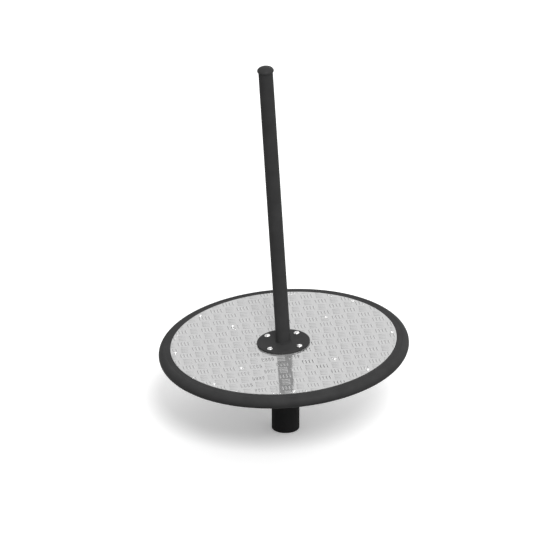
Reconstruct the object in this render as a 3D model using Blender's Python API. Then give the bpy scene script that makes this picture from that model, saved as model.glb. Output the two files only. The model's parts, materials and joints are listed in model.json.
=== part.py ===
"""Inclined playground spinner: a round tread-plate deck with a tall pole, turning on a short ground post.

Units are metres, +Z is up and the origin is the middle of the post's foot. The spin axis starts where the
post's slanted top end is centred and leans towards -X. Heights named *_Z are measured along that axis.
"""

import math

import bmesh
import bpy
from mathutils import Matrix, Vector

# Clearance between pieces that touch, and round a thread in its tapped hole.
GAP = 0.0003
THREAD_GAP = 0.0005

# Ground post and its head.
LEAN_DEG = 3.4
POST_HEIGHT = 0.244
POST_DIAMETER = 0.1143
POST_WALL = 0.004
HEAD_THICKNESS = 0.012
HEAD_BOLTS = 4
NUT_TO_POST = 0.0038
HEAD_EDGE = 0.016

# Axle and the bearings on it.
AXLE_FLANGE_THICKNESS = 0.012
SPIGOT_DIAMETER = 0.060
SPIGOT_SHORT = 0.004
COLLAR_STEP = 0.005
BEARING_BORE = 0.040
BEARING_OUTSIDE = 0.080
BEARING_WIDTH = 0.018
BALL_DIAMETER = 0.012
BALLS = 9
BEARING_SPACING = 0.028
SPACER_WALL = 0.0045
WASHER_TABS = 12
WASHER_TAB_STEP = 0.002
WASHER_THICKNESS = 0.0015
LOCK_NUT_WALL = 0.009
LOCK_NUT_HEIGHT = 0.011
LOCK_NUT_SLOTS = 4
AXLE_END_ABOVE_NUT = 0.0034

# Hub round the bearings.
HUB_WALL = 0.011
HUB_SHOULDER = 0.0045
HUB_RUNNING_GAP = 0.007
HUB_TOP_MARGIN = 0.0144
SEAL_INSET = 0.002
SEAL_HEIGHT = 0.008
RETAINER_THICKNESS = 0.0024
RETAINER_GROOVE_DEPTH = 0.002
RETAINER_WIDTH = 0.005
RETAINER_OPENING_DEG = 26.0
SEAL_TO_RETAINER = 0.004
BEARING_PASS = 0.001
HUB_FLANGE_STEP = 0.001
HUB_FLANGE_THICKNESS = 0.012

# Deck: tread plate, rim, ledge and arms.
PLATE_THICKNESS = 0.004
RIM_RADIUS = 0.491
RIM_TUBE_DIAMETER = 0.0483
RIM_TUBE_WALL = 0.003
RIM_CROWN_BELOW_DECK = 0.0018
PLATE_EDGE_GAP = 0.0014
LEDGE_WIDTH = 0.045
LEDGE_THICKNESS = 0.005
ARMS = 4
ARM_TURN_DEG = 50.4
ARM_WIDTH = 0.060
ARM_HEIGHT = 0.040
ARM_WALL = 0.003
ARM_CORNER = 0.005
DRAIN_DIAMETER = 0.008

# Screws in the plate.
RIM_SCREWS = 8
RIM_SCREW_EDGE = 0.018
ARM_SCREW_RADIUS = 0.273
SCREW_DIAMETER = 0.008
SCREW_LENGTH = 0.016
SCREW_HEAD_DIAMETER = 0.015
SCREW_HEAD_HEIGHT = 0.0045
CLEARANCE_HOLE = 0.001
STANDING_MARGIN = 0.004

# Pole, its flange, bolts and cap.
POLE_DIAMETER = 0.0603
POLE_WALL = 0.0029
POLE_TOP_ABOVE_DECK = 1.238
POLE_FLANGE_DIAMETER = 0.218
POLE_FLANGE_THICKNESS = 0.008
POLE_FLANGE_BORE = 0.040
FLANGE_BOLTS = 4
FLANGE_BOLT_EDGE = 0.0235
BOLT_DIAMETER = 0.012
BOLT_HEAD_DIAMETER = 0.024
BOLT_HEAD_HEIGHT = 0.0066
BOLT_SOCKET = 0.008
BOLT_SOCKET_DEPTH = 0.0036
HEX_FLATS = 0.019
HEX_HEAD_HEIGHT = 0.0075
HEX_NUT_HEIGHT = 0.0108
THREAD_PAST_NUT = 0.003
CAP_OVERHANG = 0.00435
CAP_LIP = 0.005
CAP_DOME = 0.017
CAP_PLUG_DEPTH = 0.026
CAP_PLUG_WALL = 0.0025
CAP_RIBS = 2
CAP_RIB_HEIGHT = 0.0014

# Facets round each kind of piece.
RIM_SEGMENTS = 40
RIM_TUBE_SIDES = 12
RIM_BORE_SIDES = 8
FLANGE_SEGMENTS = 28
TUBE_SEGMENTS = 28
BEARING_SEGMENTS = 24
CAGE_SEGMENTS = 18
BOLT_SEGMENTS = 10
SCREW_SEGMENTS = 8
GROOVE_STEPS = 3

# Stack of heights along the spin axis, from the post's slanted end upwards.
HEAD_Z = GAP
AXLE_FLANGE_Z = HEAD_Z + HEAD_THICKNESS + GAP
AXLE_FLANGE_TOP_Z = AXLE_FLANGE_Z + AXLE_FLANGE_THICKNESS
HUB_Z = AXLE_FLANGE_TOP_Z + HUB_RUNNING_GAP
SEAL_Z = HUB_Z + SEAL_INSET
RETAINER_Z = SEAL_Z + SEAL_HEIGHT + SEAL_TO_RETAINER
LOWER_BEARING_Z = RETAINER_Z + RETAINER_THICKNESS + 2 * GAP
COLLAR_TOP_Z = LOWER_BEARING_Z - GAP
SHOULDER_Z = LOWER_BEARING_Z + BEARING_WIDTH + GAP
SHOULDER_TOP_Z = SHOULDER_Z + BEARING_SPACING - 2 * GAP
UPPER_BEARING_Z = SHOULDER_TOP_Z + GAP
WASHER_Z = UPPER_BEARING_Z + BEARING_WIDTH + GAP
LOCK_NUT_Z = WASHER_Z + WASHER_THICKNESS + GAP
AXLE_TOP_Z = LOCK_NUT_Z + LOCK_NUT_HEIGHT + AXLE_END_ABOVE_NUT
HUB_TOP_Z = UPPER_BEARING_Z + BEARING_WIDTH + HUB_TOP_MARGIN
HUB_FLANGE_Z = HUB_TOP_Z + GAP
PLATE_Z = HUB_FLANGE_Z + HUB_FLANGE_THICKNESS + GAP
DECK_Z = PLATE_Z + PLATE_THICKNESS
POLE_FLANGE_Z = DECK_Z + GAP
POLE_Z = POLE_FLANGE_Z + POLE_FLANGE_THICKNESS + GAP
POLE_TOP_Z = DECK_Z + POLE_TOP_ABOVE_DECK
CAP_Z = POLE_TOP_Z + GAP
RIM_Z = DECK_Z - RIM_CROWN_BELOW_DECK - RIM_TUBE_DIAMETER / 2
FRAME_TOP_Z = PLATE_Z - GAP

# Radii that follow from the sizes above.
POST_RADIUS = POST_DIAMETER / 2
HEX_CORNER = HEX_FLATS / 2 / math.cos(math.pi / 6)
HEAD_BOLT_RADIUS = POST_RADIUS + NUT_TO_POST + HEX_CORNER
HEAD_RADIUS = HEAD_BOLT_RADIUS + HEAD_EDGE
BORE_RADIUS = BEARING_OUTSIDE / 2
HUB_RADIUS = BORE_RADIUS + HUB_WALL
SHAFT_RADIUS = BEARING_BORE / 2
COLLAR_RADIUS = SHAFT_RADIUS + COLLAR_STEP
LOCK_NUT_RADIUS = SHAFT_RADIUS + LOCK_NUT_WALL
WASHER_RADIUS = LOCK_NUT_RADIUS + WASHER_TAB_STEP
PITCH_RADIUS = (BEARING_BORE + BEARING_OUTSIDE) / 4
BALL_RADIUS = BALL_DIAMETER / 2
RIM_TUBE_RADIUS = RIM_TUBE_DIAMETER / 2
PLATE_RADIUS = RIM_RADIUS - RIM_TUBE_RADIUS - PLATE_EDGE_GAP
RIM_SCREW_RADIUS = PLATE_RADIUS - RIM_SCREW_EDGE
POLE_FLANGE_RADIUS = POLE_FLANGE_DIAMETER / 2
FLANGE_BOLT_RADIUS = POLE_FLANGE_RADIUS - FLANGE_BOLT_EDGE
HUB_FLANGE_RADIUS = POLE_FLANGE_RADIUS + HUB_FLANGE_STEP
SCREW_HOLE = (SCREW_DIAMETER + CLEARANCE_HOLE) / 2
SCREW_TAPPED = SCREW_DIAMETER / 2 + THREAD_GAP
BOLT_HOLE = (BOLT_DIAMETER + CLEARANCE_HOLE) / 2
BOLT_TAPPED = BOLT_DIAMETER / 2 + THREAD_GAP
ARM_TURN = math.radians(ARM_TURN_DEG)


def clear_scene():
    for item in list(bpy.data.objects):
        bpy.data.objects.remove(item, do_unlink=True)


def finish(name, colour, roughness, metallic):
    """A Principled material with the colour and polish of one kind of surface."""
    material = bpy.data.materials.new(name)
    material.use_nodes = True
    shader = material.node_tree.nodes["Principled BSDF"]
    shader.inputs["Base Color"].default_value = (*colour, 1.0)
    shader.inputs["Roughness"].default_value = roughness
    shader.inputs["Metallic"].default_value = metallic
    material.diffuse_color = (*colour, 1.0)
    return material


def add_object(name, mesh, material, parent=None, sharp_deg=35.0):
    mesh.materials.clear()
    mesh.materials.append(material)
    mesh.shade_smooth()
    mesh.set_sharp_from_angle(angle=math.radians(sharp_deg))
    item = bpy.data.objects.new(name, mesh)
    bpy.context.collection.objects.link(item)
    item.parent = parent
    return item


def mesh_from(bm, name):
    bmesh.ops.recalc_face_normals(bm, faces=bm.faces)
    mesh = bpy.data.meshes.new(name)
    bm.to_mesh(mesh)
    bm.free()
    return mesh


def turned(name, profile, segments, turn=0.0):
    """Mesh of a closed outline of (radius, height) points, turned once about +Z.

    Points at radius zero become one vertex each, so solid shafts close at their ends.
    """
    bm = bmesh.new()
    columns = []
    for index in range(segments):
        angle = turn + 2 * math.pi * index / segments
        column = []
        for step, (radius, height) in enumerate(profile):
            if radius < 1e-9 and index > 0:
                column.append(columns[0][step])
            else:
                column.append(bm.verts.new((radius * math.cos(angle), radius * math.sin(angle), height)))
        columns.append(column)
    for index in range(segments):
        here = columns[index]
        there = columns[(index + 1) % segments]
        for step in range(len(profile)):
            following = (step + 1) % len(profile)
            corners = []
            for vertex in (here[step], there[step], there[following], here[following]):
                if vertex not in corners:
                    corners.append(vertex)
            if len(corners) > 2:
                bm.faces.new(corners)
    return mesh_from(bm, name)


def ring_profile(inner, outer, bottom, top):
    return [(inner, bottom), (outer, bottom), (outer, top), (inner, top)]


def bevelled_ring(inner, outer, bottom, top, bevel):
    """Section of a flat ring whose outer edges are broken."""
    return [
        (inner, bottom),
        (outer - bevel, bottom),
        (outer, bottom + bevel),
        (outer, top - bevel),
        (outer - bevel, top),
        (inner, top),
    ]


def circle_profile(centre, radius, height, sides):
    return [
        (
            centre + radius * math.cos(2 * math.pi * step / sides),
            height + radius * math.sin(2 * math.pi * step / sides),
        )
        for step in range(sides)
    ]


def arc(centre, radius, start_deg, end_deg, steps):
    """Points on an arc, both ends included."""
    points = []
    for step in range(steps + 1):
        angle = math.radians(start_deg + (end_deg - start_deg) * step / steps)
        points.append((centre[0] + radius * math.cos(angle), centre[1] + radius * math.sin(angle)))
    return points


def extruded(name, outline, bottom, top):
    """Mesh of a flat outline of (x, y) points, raised from bottom to top."""
    bm = bmesh.new()
    floor = bm.faces.new([bm.verts.new((x, y, bottom)) for x, y in outline])
    raised = bmesh.ops.extrude_face_region(bm, geom=[floor])
    moved = [item for item in raised["geom"] if isinstance(item, bmesh.types.BMVert)]
    bmesh.ops.translate(bm, verts=moved, vec=(0, 0, top - bottom))
    return mesh_from(bm, name)


def regular_outline(radius, sides, turn=0.0):
    return [
        (
            radius * math.cos(turn + 2 * math.pi * side / sides),
            radius * math.sin(turn + 2 * math.pi * side / sides),
        )
        for side in range(sides)
    ]


def places(count, radius, first=0.0):
    """Centres of a ring of equally spaced screws or holes, with the angle of each."""
    spots = []
    for index in range(count):
        angle = first + 2 * math.pi * index / count
        spots.append((radius * math.cos(angle), radius * math.sin(angle), angle))
    return spots


def pegs(name, spots, radius, bottom, top, sides=BOLT_SEGMENTS):
    """One mesh with a round peg at each spot, used to drill a pattern of holes."""
    bm = bmesh.new()
    for x, y, _ in spots:
        ring = [bm.verts.new((x + px, y + py, bottom)) for px, py in regular_outline(radius, sides)]
        floor = bm.faces.new(ring)
        raised = bmesh.ops.extrude_face_region(bm, geom=[floor])
        moved = [item for item in raised["geom"] if isinstance(item, bmesh.types.BMVert)]
        bmesh.ops.translate(bm, verts=moved, vec=(0, 0, top - bottom))
    return mesh_from(bm, name)


def guide(name, mesh, parent=None):
    """A cutter: drawn as wire and left out of renders."""
    cutter = bpy.data.objects.new(name, mesh)
    bpy.context.collection.objects.link(cutter)
    cutter.parent = parent
    cutter.hide_render = True
    cutter.display_type = "WIRE"
    return cutter


def combine(item, other, operation="DIFFERENCE"):
    step = item.modifiers.new(other.name, "BOOLEAN")
    step.operation = operation
    step.object = other
    step.solver = "EXACT"
    return step


def place(item, spot, height):
    """Puts a fastener on its hole's axis, turned with the ring it belongs to."""
    x, y, angle = spot
    item.location = (x, y, height)
    item.rotation_euler = (0.0, 0.0, angle)
    return item


# Finishes.
clear_scene()
BLACK_COAT = finish("black_powder_coat", (0.030, 0.030, 0.032), 0.42, 0.0)
POST_COAT = finish("post_black_coat", (0.012, 0.012, 0.013), 0.45, 0.0)
TREAD_ALUMINIUM = finish("tread_aluminium", (0.72, 0.73, 0.74), 0.22, 1.0)
STAINLESS = finish("stainless_steel", (0.70, 0.70, 0.69), 0.25, 1.0)
ZINC_STEEL = finish("zinc_plated_steel", (0.58, 0.60, 0.62), 0.35, 1.0)
MACHINED_STEEL = finish("machined_steel", (0.52, 0.52, 0.53), 0.30, 1.0)
BEARING_STEEL = finish("bearing_steel", (0.62, 0.62, 0.63), 0.18, 1.0)
SEAL_RUBBER = finish("seal_rubber", (0.020, 0.020, 0.020), 0.70, 0.0)
CAP_PLASTIC = finish("cap_plastic", (0.035, 0.035, 0.037), 0.35, 0.0)

# Everything above the post stands on one leaning axis; each turning group has its own empty on it.
LEAN = math.radians(LEAN_DEG)
AXIS_FOOT = Vector((0.0, 0.0, POST_HEIGHT))


def axis_empty(name):
    empty = bpy.data.objects.new(name, None)
    bpy.context.collection.objects.link(empty)
    empty.location = AXIS_FOOT
    empty.rotation_euler = (0.0, -LEAN, 0.0)
    return empty


fixed_axis = axis_empty("head_axis")
deck_axis = axis_empty("disc_spin_axis")
cage_axis = axis_empty("cage_roll_axis")


def ground_post():
    """Round tube, cut square at the ground and on the slant at its top."""
    spare = POST_RADIUS * math.tan(LEAN) + 0.02
    tube = turned(
        "ground_post",
        ring_profile(POST_RADIUS - POST_WALL, POST_RADIUS, 0.0, POST_HEIGHT + spare),
        TUBE_SEGMENTS,
    )
    post = add_object("ground_post", tube, POST_COAT)
    saw = extruded("post_saw", regular_outline(POST_DIAMETER, 4, math.pi / 4), 0.0, 4 * spare)
    combine(post, guide("post_saw", saw, fixed_axis))


def post_head_plate():
    """Round plate welded on the slanted end, with a centring bore and four bolt holes."""
    plate = add_object(
        "post_head_plate",
        turned(
            "post_head_plate",
            bevelled_ring(SPIGOT_DIAMETER / 2 + GAP, HEAD_RADIUS, HEAD_Z, HEAD_Z + HEAD_THICKNESS, 0.001),
            TUBE_SEGMENTS,
        ),
        POST_COAT,
        fixed_axis,
    )
    drill = pegs(
        "head_drill",
        places(HEAD_BOLTS, HEAD_BOLT_RADIUS, math.pi / 4),
        BOLT_HOLE,
        HEAD_Z - 0.005,
        HEAD_Z + HEAD_THICKNESS + 0.005,
    )
    combine(plate, guide("head_drill", drill, fixed_axis))


def axle():
    """Turned in one piece: spigot, base flange, collar under the lower bearing, and the shaft."""
    chamfer = 0.0015
    spigot = SPIGOT_DIAMETER / 2
    foot = HEAD_Z + SPIGOT_SHORT
    section = [
        (0.0, foot),
        (spigot - chamfer, foot),
        (spigot, foot + chamfer),
        (spigot, AXLE_FLANGE_Z),
        (HEAD_RADIUS, AXLE_FLANGE_Z),
        (HEAD_RADIUS, AXLE_FLANGE_TOP_Z - chamfer),
        (HEAD_RADIUS - chamfer, AXLE_FLANGE_TOP_Z),
        (COLLAR_RADIUS, AXLE_FLANGE_TOP_Z),
        (COLLAR_RADIUS, COLLAR_TOP_Z),
        (SHAFT_RADIUS, COLLAR_TOP_Z),
        (SHAFT_RADIUS, AXLE_TOP_Z - chamfer),
        (SHAFT_RADIUS - chamfer, AXLE_TOP_Z),
        (0.0, AXLE_TOP_Z),
    ]
    shaft = add_object("axle", turned("axle", section, BEARING_SEGMENTS), MACHINED_STEEL, fixed_axis)
    drill = pegs(
        "axle_drill",
        places(HEAD_BOLTS, HEAD_BOLT_RADIUS, math.pi / 4),
        BOLT_HOLE,
        AXLE_FLANGE_Z - 0.002,
        AXLE_FLANGE_TOP_Z + 0.005,
    )
    combine(shaft, guide("axle_drill", drill, fixed_axis))


def hex_bolt_mesh(grip):
    """Hexagon head at the top of a plain shank; the head's seat is at height zero."""
    head = extruded("hex_head", regular_outline(HEX_CORNER, 6), 0.0, HEX_HEAD_HEIGHT)
    bm = bmesh.new()
    bm.from_mesh(head)
    bottom = min(bm.faces, key=lambda face: face.calc_center_median().z)
    ring = [bm.verts.new((x, y, 0.0)) for x, y in regular_outline(BOLT_DIAMETER / 2, BOLT_SEGMENTS)]
    tip = [bm.verts.new((x, y, -grip)) for x, y in regular_outline(BOLT_DIAMETER / 2, BOLT_SEGMENTS)]
    seat_edges = list(bottom.edges)
    bm.faces.remove(bottom)
    ring_edges = [bm.edges.new((ring[i], ring[(i + 1) % BOLT_SEGMENTS])) for i in range(BOLT_SEGMENTS)]
    bmesh.ops.bridge_loops(bm, edges=seat_edges + ring_edges)
    for index in range(BOLT_SEGMENTS):
        following = (index + 1) % BOLT_SEGMENTS
        bm.faces.new((ring[index], ring[following], tip[following], tip[index]))
    bm.faces.new(tip)
    bpy.data.meshes.remove(head)
    return mesh_from(bm, "axle_bolt")


def axle_bolts():
    """Four hexagon bolts down through the axle's flange and the head plate, each with a nut below."""
    grip = (AXLE_FLANGE_TOP_Z + GAP) - (HEAD_Z - GAP) + HEX_NUT_HEIGHT + THREAD_PAST_NUT
    bolt = hex_bolt_mesh(grip)
    nut = extruded("axle_nut", regular_outline(HEX_CORNER, 6), -HEX_NUT_HEIGHT, 0.0)
    bore = pegs("nut_bore", [(0.0, 0.0, 0.0)], BOLT_TAPPED, -HEX_NUT_HEIGHT - 0.003, 0.003)
    for number, spot in enumerate(places(HEAD_BOLTS, HEAD_BOLT_RADIUS, math.pi / 4), start=1):
        piece = add_object(f"axle_bolt_{number}", bolt.copy(), ZINC_STEEL, fixed_axis)
        place(piece, spot, AXLE_FLANGE_TOP_Z + GAP)
        piece = add_object(f"axle_nut_{number}", nut.copy(), ZINC_STEEL, fixed_axis)
        place(piece, spot, HEAD_Z - GAP)
        combine(piece, place(guide(f"nut_bore_{number}", bore.copy(), fixed_axis), spot, HEAD_Z - GAP))


def flat_ease(radius):
    """How far the flats of a bore of that radius, turned in facets, stand inside its circle."""
    return radius * (1 / math.cos(math.pi / BEARING_SEGMENTS) - 1)


def bearing(level, bottom):
    """Deep-groove ball bearing: two grooved rings, and nine balls held in one turned cage."""
    middle = bottom + BEARING_WIDTH / 2
    top = bottom + BEARING_WIDTH
    groove = BALL_RADIUS + GAP
    land = (BEARING_OUTSIDE - BEARING_BORE) / 2 * 0.31
    inner_land = SHAFT_RADIUS + land
    outer_land = BORE_RADIUS - land
    ease = flat_ease(PITCH_RADIUS + groove)
    bore = SHAFT_RADIUS + GAP
    outside = BORE_RADIUS - GAP
    reach = math.degrees(math.acos((PITCH_RADIUS - inner_land) / groove))
    inner = [(bore, top), (bore, bottom), (inner_land, bottom)]
    inner += arc((PITCH_RADIUS, middle), groove, 180 + reach, 180 - reach, GROOVE_STEPS)
    inner += [(inner_land, top)]
    add_object(
        f"{level}_bearing_inner_ring",
        turned("inner_ring", inner, BEARING_SEGMENTS),
        BEARING_STEEL,
        fixed_axis,
    )
    outer = [(outside, bottom), (outside, top), (outer_land, top)]
    outer += arc((PITCH_RADIUS + ease, middle), groove, reach, -reach, GROOVE_STEPS)
    outer += [(outer_land, bottom)]
    add_object(
        f"{level}_bearing_outer_ring",
        turned("outer_ring", outer, BEARING_SEGMENTS),
        BEARING_STEEL,
        deck_axis,
    )
    half = BALL_RADIUS * 0.45
    cage = add_object(
        f"{level}_bearing_ball_cage",
        turned(
            "ball_cage",
            ring_profile(PITCH_RADIUS - half, PITCH_RADIUS + half, middle - half, middle + half),
            CAGE_SEGMENTS,
        ),
        BEARING_STEEL,
        cage_axis,
    )
    bm = bmesh.new()
    for x, y, angle in places(BALLS, PITCH_RADIUS, math.radians(5)):
        spot = Matrix.Translation((x, y, middle)) @ Matrix.Rotation(angle, 4, "Z")
        bmesh.ops.create_uvsphere(bm, u_segments=8, v_segments=4, radius=BALL_RADIUS, matrix=spot)
    balls = mesh_from(bm, f"{level}_balls")
    combine(cage, guide(f"{level}_balls", balls, cage_axis), "UNION")


def spacer_and_nut():
    """Sleeve between the inner rings, then the washer and the slotted nut that hold them on the shaft."""
    bore = SHAFT_RADIUS + GAP
    add_object(
        "bearing_spacer",
        turned(
            "bearing_spacer",
            ring_profile(bore, bore + SPACER_WALL, SHOULDER_Z, SHOULDER_TOP_Z),
            BEARING_SEGMENTS,
        ),
        MACHINED_STEEL,
        fixed_axis,
    )
    washer = add_object(
        "tab_washer",
        turned(
            "tab_washer",
            ring_profile(bore, LOCK_NUT_RADIUS - WASHER_TAB_STEP, WASHER_Z, WASHER_Z + WASHER_THICKNESS),
            BEARING_SEGMENTS,
        ),
        ZINC_STEEL,
        fixed_axis,
    )
    bm = bmesh.new()
    length = LOCK_NUT_WALL
    for _, _, angle in places(WASHER_TABS, 1.0):
        tab = bmesh.ops.create_cube(bm, size=1.0)["verts"]
        bmesh.ops.scale(bm, verts=tab, vec=(length, 0.006, WASHER_THICKNESS))
        middle = (WASHER_RADIUS - length / 2, 0, WASHER_Z + WASHER_THICKNESS / 2)
        bmesh.ops.translate(bm, verts=tab, vec=middle)
        bmesh.ops.rotate(bm, verts=tab, cent=(0, 0, 0), matrix=Matrix.Rotation(angle, 3, "Z"))
    combine(washer, guide("washer_tabs", mesh_from(bm, "washer_tabs"), fixed_axis), "UNION")
    nut = add_object(
        "lock_nut",
        turned(
            "lock_nut",
            bevelled_ring(bore, LOCK_NUT_RADIUS, LOCK_NUT_Z, LOCK_NUT_Z + LOCK_NUT_HEIGHT, 0.001),
            BEARING_SEGMENTS,
        ),
        MACHINED_STEEL,
        fixed_axis,
    )
    bm = bmesh.new()
    for _, _, angle in places(LOCK_NUT_SLOTS, 1.0, math.pi / 4):
        slot = bmesh.ops.create_cube(bm, size=1.0)["verts"]
        bmesh.ops.scale(bm, verts=slot, vec=(0.006, 0.007, LOCK_NUT_HEIGHT * 2))
        bmesh.ops.translate(bm, verts=slot, vec=(LOCK_NUT_RADIUS, 0, LOCK_NUT_Z + LOCK_NUT_HEIGHT / 2))
        bmesh.ops.rotate(bm, verts=slot, cent=(0, 0, 0), matrix=Matrix.Rotation(angle, 3, "Z"))
    combine(nut, guide("nut_slots", mesh_from(bm, "nut_slots"), fixed_axis))


def hub():
    """Housing bored from both ends up to an inner shoulder, with a groove near its mouth, and its flange."""
    bore = BORE_RADIUS
    groove_bottom = RETAINER_Z - GAP
    groove_top = RETAINER_Z + RETAINER_THICKNESS + GAP
    section = [
        (HUB_RADIUS, HUB_Z),
        (HUB_RADIUS, HUB_TOP_Z),
        (bore, HUB_TOP_Z),
        (bore, SHOULDER_TOP_Z),
        (bore - HUB_SHOULDER, SHOULDER_TOP_Z),
        (bore - HUB_SHOULDER, SHOULDER_Z),
        (bore, SHOULDER_Z),
        (bore, groove_top),
        (bore + RETAINER_GROOVE_DEPTH, groove_top),
        (bore + RETAINER_GROOVE_DEPTH, groove_bottom),
        (bore, groove_bottom),
        (bore, HUB_Z),
    ]
    add_object("hub_housing", turned("hub_housing", section, BEARING_SEGMENTS), BLACK_COAT, deck_axis)
    flange = add_object(
        "hub_flange",
        turned(
            "hub_flange",
            ring_profile(
                bore + BEARING_PASS, HUB_FLANGE_RADIUS, HUB_FLANGE_Z, HUB_FLANGE_Z + HUB_FLANGE_THICKNESS
            ),
            FLANGE_SEGMENTS,
        ),
        BLACK_COAT,
        deck_axis,
    )
    drill = pegs(
        "hub_flange_drill",
        places(FLANGE_BOLTS, FLANGE_BOLT_RADIUS, ARM_TURN),
        BOLT_TAPPED,
        HUB_FLANGE_Z - 0.005,
        HUB_FLANGE_Z + HUB_FLANGE_THICKNESS + 0.005,
    )
    combine(flange, guide("hub_flange_drill", drill, deck_axis))


def retaining_ring():
    """Open spring ring in the housing's groove, with an eye at each end for the pliers."""
    outer = (BORE_RADIUS + RETAINER_GROOVE_DEPTH) * math.cos(math.pi / BEARING_SEGMENTS) - GAP
    inner = outer - RETAINER_WIDTH
    half = RETAINER_OPENING_DEG / 2
    outline = arc((0, 0), outer, half, 360 - half, BEARING_SEGMENTS)
    outline += arc((0, 0), inner, 360 - half, half, BEARING_SEGMENTS)
    ring = add_object(
        "retaining_ring",
        extruded("retaining_ring", outline, RETAINER_Z, RETAINER_Z + RETAINER_THICKNESS),
        MACHINED_STEEL,
        deck_axis,
    )
    eye = RETAINER_WIDTH * 0.75
    spots = []
    for end in (-1, 1):
        angle = end * math.radians(half + 4)
        spots.append(((inner - 0.0005) * math.cos(angle), (inner - 0.0005) * math.sin(angle), angle))
    ears = pegs("retainer_ears", spots, eye, RETAINER_Z, RETAINER_Z + RETAINER_THICKNESS)
    combine(ring, guide("retainer_ears", ears, deck_axis), "UNION")
    below = RETAINER_Z - 0.002
    above = RETAINER_Z + RETAINER_THICKNESS + 0.002
    holes = pegs("retainer_eyes", spots, eye * 0.36, below, above, 8)
    combine(ring, guide("retainer_eyes", holes, deck_axis))


def dust_seal():
    """Lip seal pressed in the housing's mouth; its lip runs on the axle's collar."""
    outside = BORE_RADIUS - GAP
    lip = COLLAR_RADIUS + GAP
    lip += flat_ease(lip)
    web = 0.002
    top = SEAL_Z + SEAL_HEIGHT
    section = [
        (outside, SEAL_Z),
        (outside, top),
        (outside - web, top),
        (outside - web, SEAL_Z + web),
        (lip + 0.0045, SEAL_Z + web),
        (lip + 0.0012, SEAL_Z + SEAL_HEIGHT * 0.62),
        (lip, SEAL_Z + SEAL_HEIGHT * 0.5),
        (lip + 0.0025, SEAL_Z),
    ]
    add_object("dust_seal", turned("dust_seal", section, BEARING_SEGMENTS), SEAL_RUBBER, deck_axis)


def rim_ring():
    """One round tube rolled to a circle, hollow, with a drain hole between each pair of arms."""
    rim = add_object(
        "rim_ring",
        turned(
            "rim_ring",
            circle_profile(RIM_RADIUS, RIM_TUBE_RADIUS, RIM_Z, RIM_TUBE_SIDES),
            RIM_SEGMENTS,
        ),
        BLACK_COAT,
        deck_axis,
        60.0,
    )
    hollow = turned(
        "rim_hollow",
        circle_profile(RIM_RADIUS, RIM_TUBE_RADIUS - RIM_TUBE_WALL, RIM_Z, RIM_BORE_SIDES),
        RIM_SEGMENTS,
    )
    combine(rim, guide("rim_hollow", hollow, deck_axis))
    drill = pegs(
        "rim_drains",
        places(ARMS, RIM_RADIUS, ARM_TURN + math.pi / ARMS),
        DRAIN_DIAMETER / 2,
        RIM_Z - RIM_TUBE_DIAMETER,
        RIM_Z,
        8,
    )
    combine(rim, guide("rim_drains", drill, deck_axis))


def ledge_outer_radius():
    """Where the flat ledge meets the shoulder of the rim's tube, at the ledge's lower face."""
    rise = FRAME_TOP_Z - LEDGE_THICKNESS - RIM_Z
    half_chord = math.sqrt(RIM_TUBE_RADIUS**2 - rise**2)
    return RIM_RADIUS - half_chord - GAP


def rim_ledge():
    """Flat ring welded round the inside of the rim; the plate's edge lies on it."""
    outer = ledge_outer_radius()
    inner = outer - LEDGE_WIDTH
    ledge = add_object(
        "rim_ledge",
        turned(
            "rim_ledge",
            ring_profile(inner, outer, FRAME_TOP_Z - LEDGE_THICKNESS, FRAME_TOP_Z),
            RIM_SEGMENTS,
        ),
        BLACK_COAT,
        deck_axis,
    )
    drill = pegs(
        "ledge_drill",
        places(RIM_SCREWS, RIM_SCREW_RADIUS, ARM_TURN),
        SCREW_TAPPED,
        FRAME_TOP_Z - LEDGE_THICKNESS - 0.005,
        FRAME_TOP_Z + 0.003,
        SCREW_SEGMENTS,
    )
    combine(ledge, guide("ledge_drill", drill, deck_axis))


def rounded_box_outline(width, height, radius, centre_z, corner_steps):
    """Section of a rectangular tube with round corners, in its own (across, up) plane."""
    outline = []
    for across, up, start in ((1, 1, 0), (-1, 1, 90), (-1, -1, 180), (1, -1, 270)):
        middle = (across * (width / 2 - radius), centre_z + up * (height / 2 - radius))
        outline += arc(middle, radius, start, start + 90, corner_steps)
    return outline


def box_bar(name, width, height, radius, centre_z, start, end, corner_steps):
    """Bar of that section lying along +X."""
    bm = bmesh.new()
    outline = rounded_box_outline(width, height, radius, centre_z, corner_steps)
    section = [bm.verts.new((start, y, z)) for y, z in outline]
    face = bm.faces.new(section)
    raised = bmesh.ops.extrude_face_region(bm, geom=[face])
    moved = [item for item in raised["geom"] if isinstance(item, bmesh.types.BMVert)]
    bmesh.ops.translate(bm, verts=moved, vec=(end - start, 0, 0))
    return mesh_from(bm, name)


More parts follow.
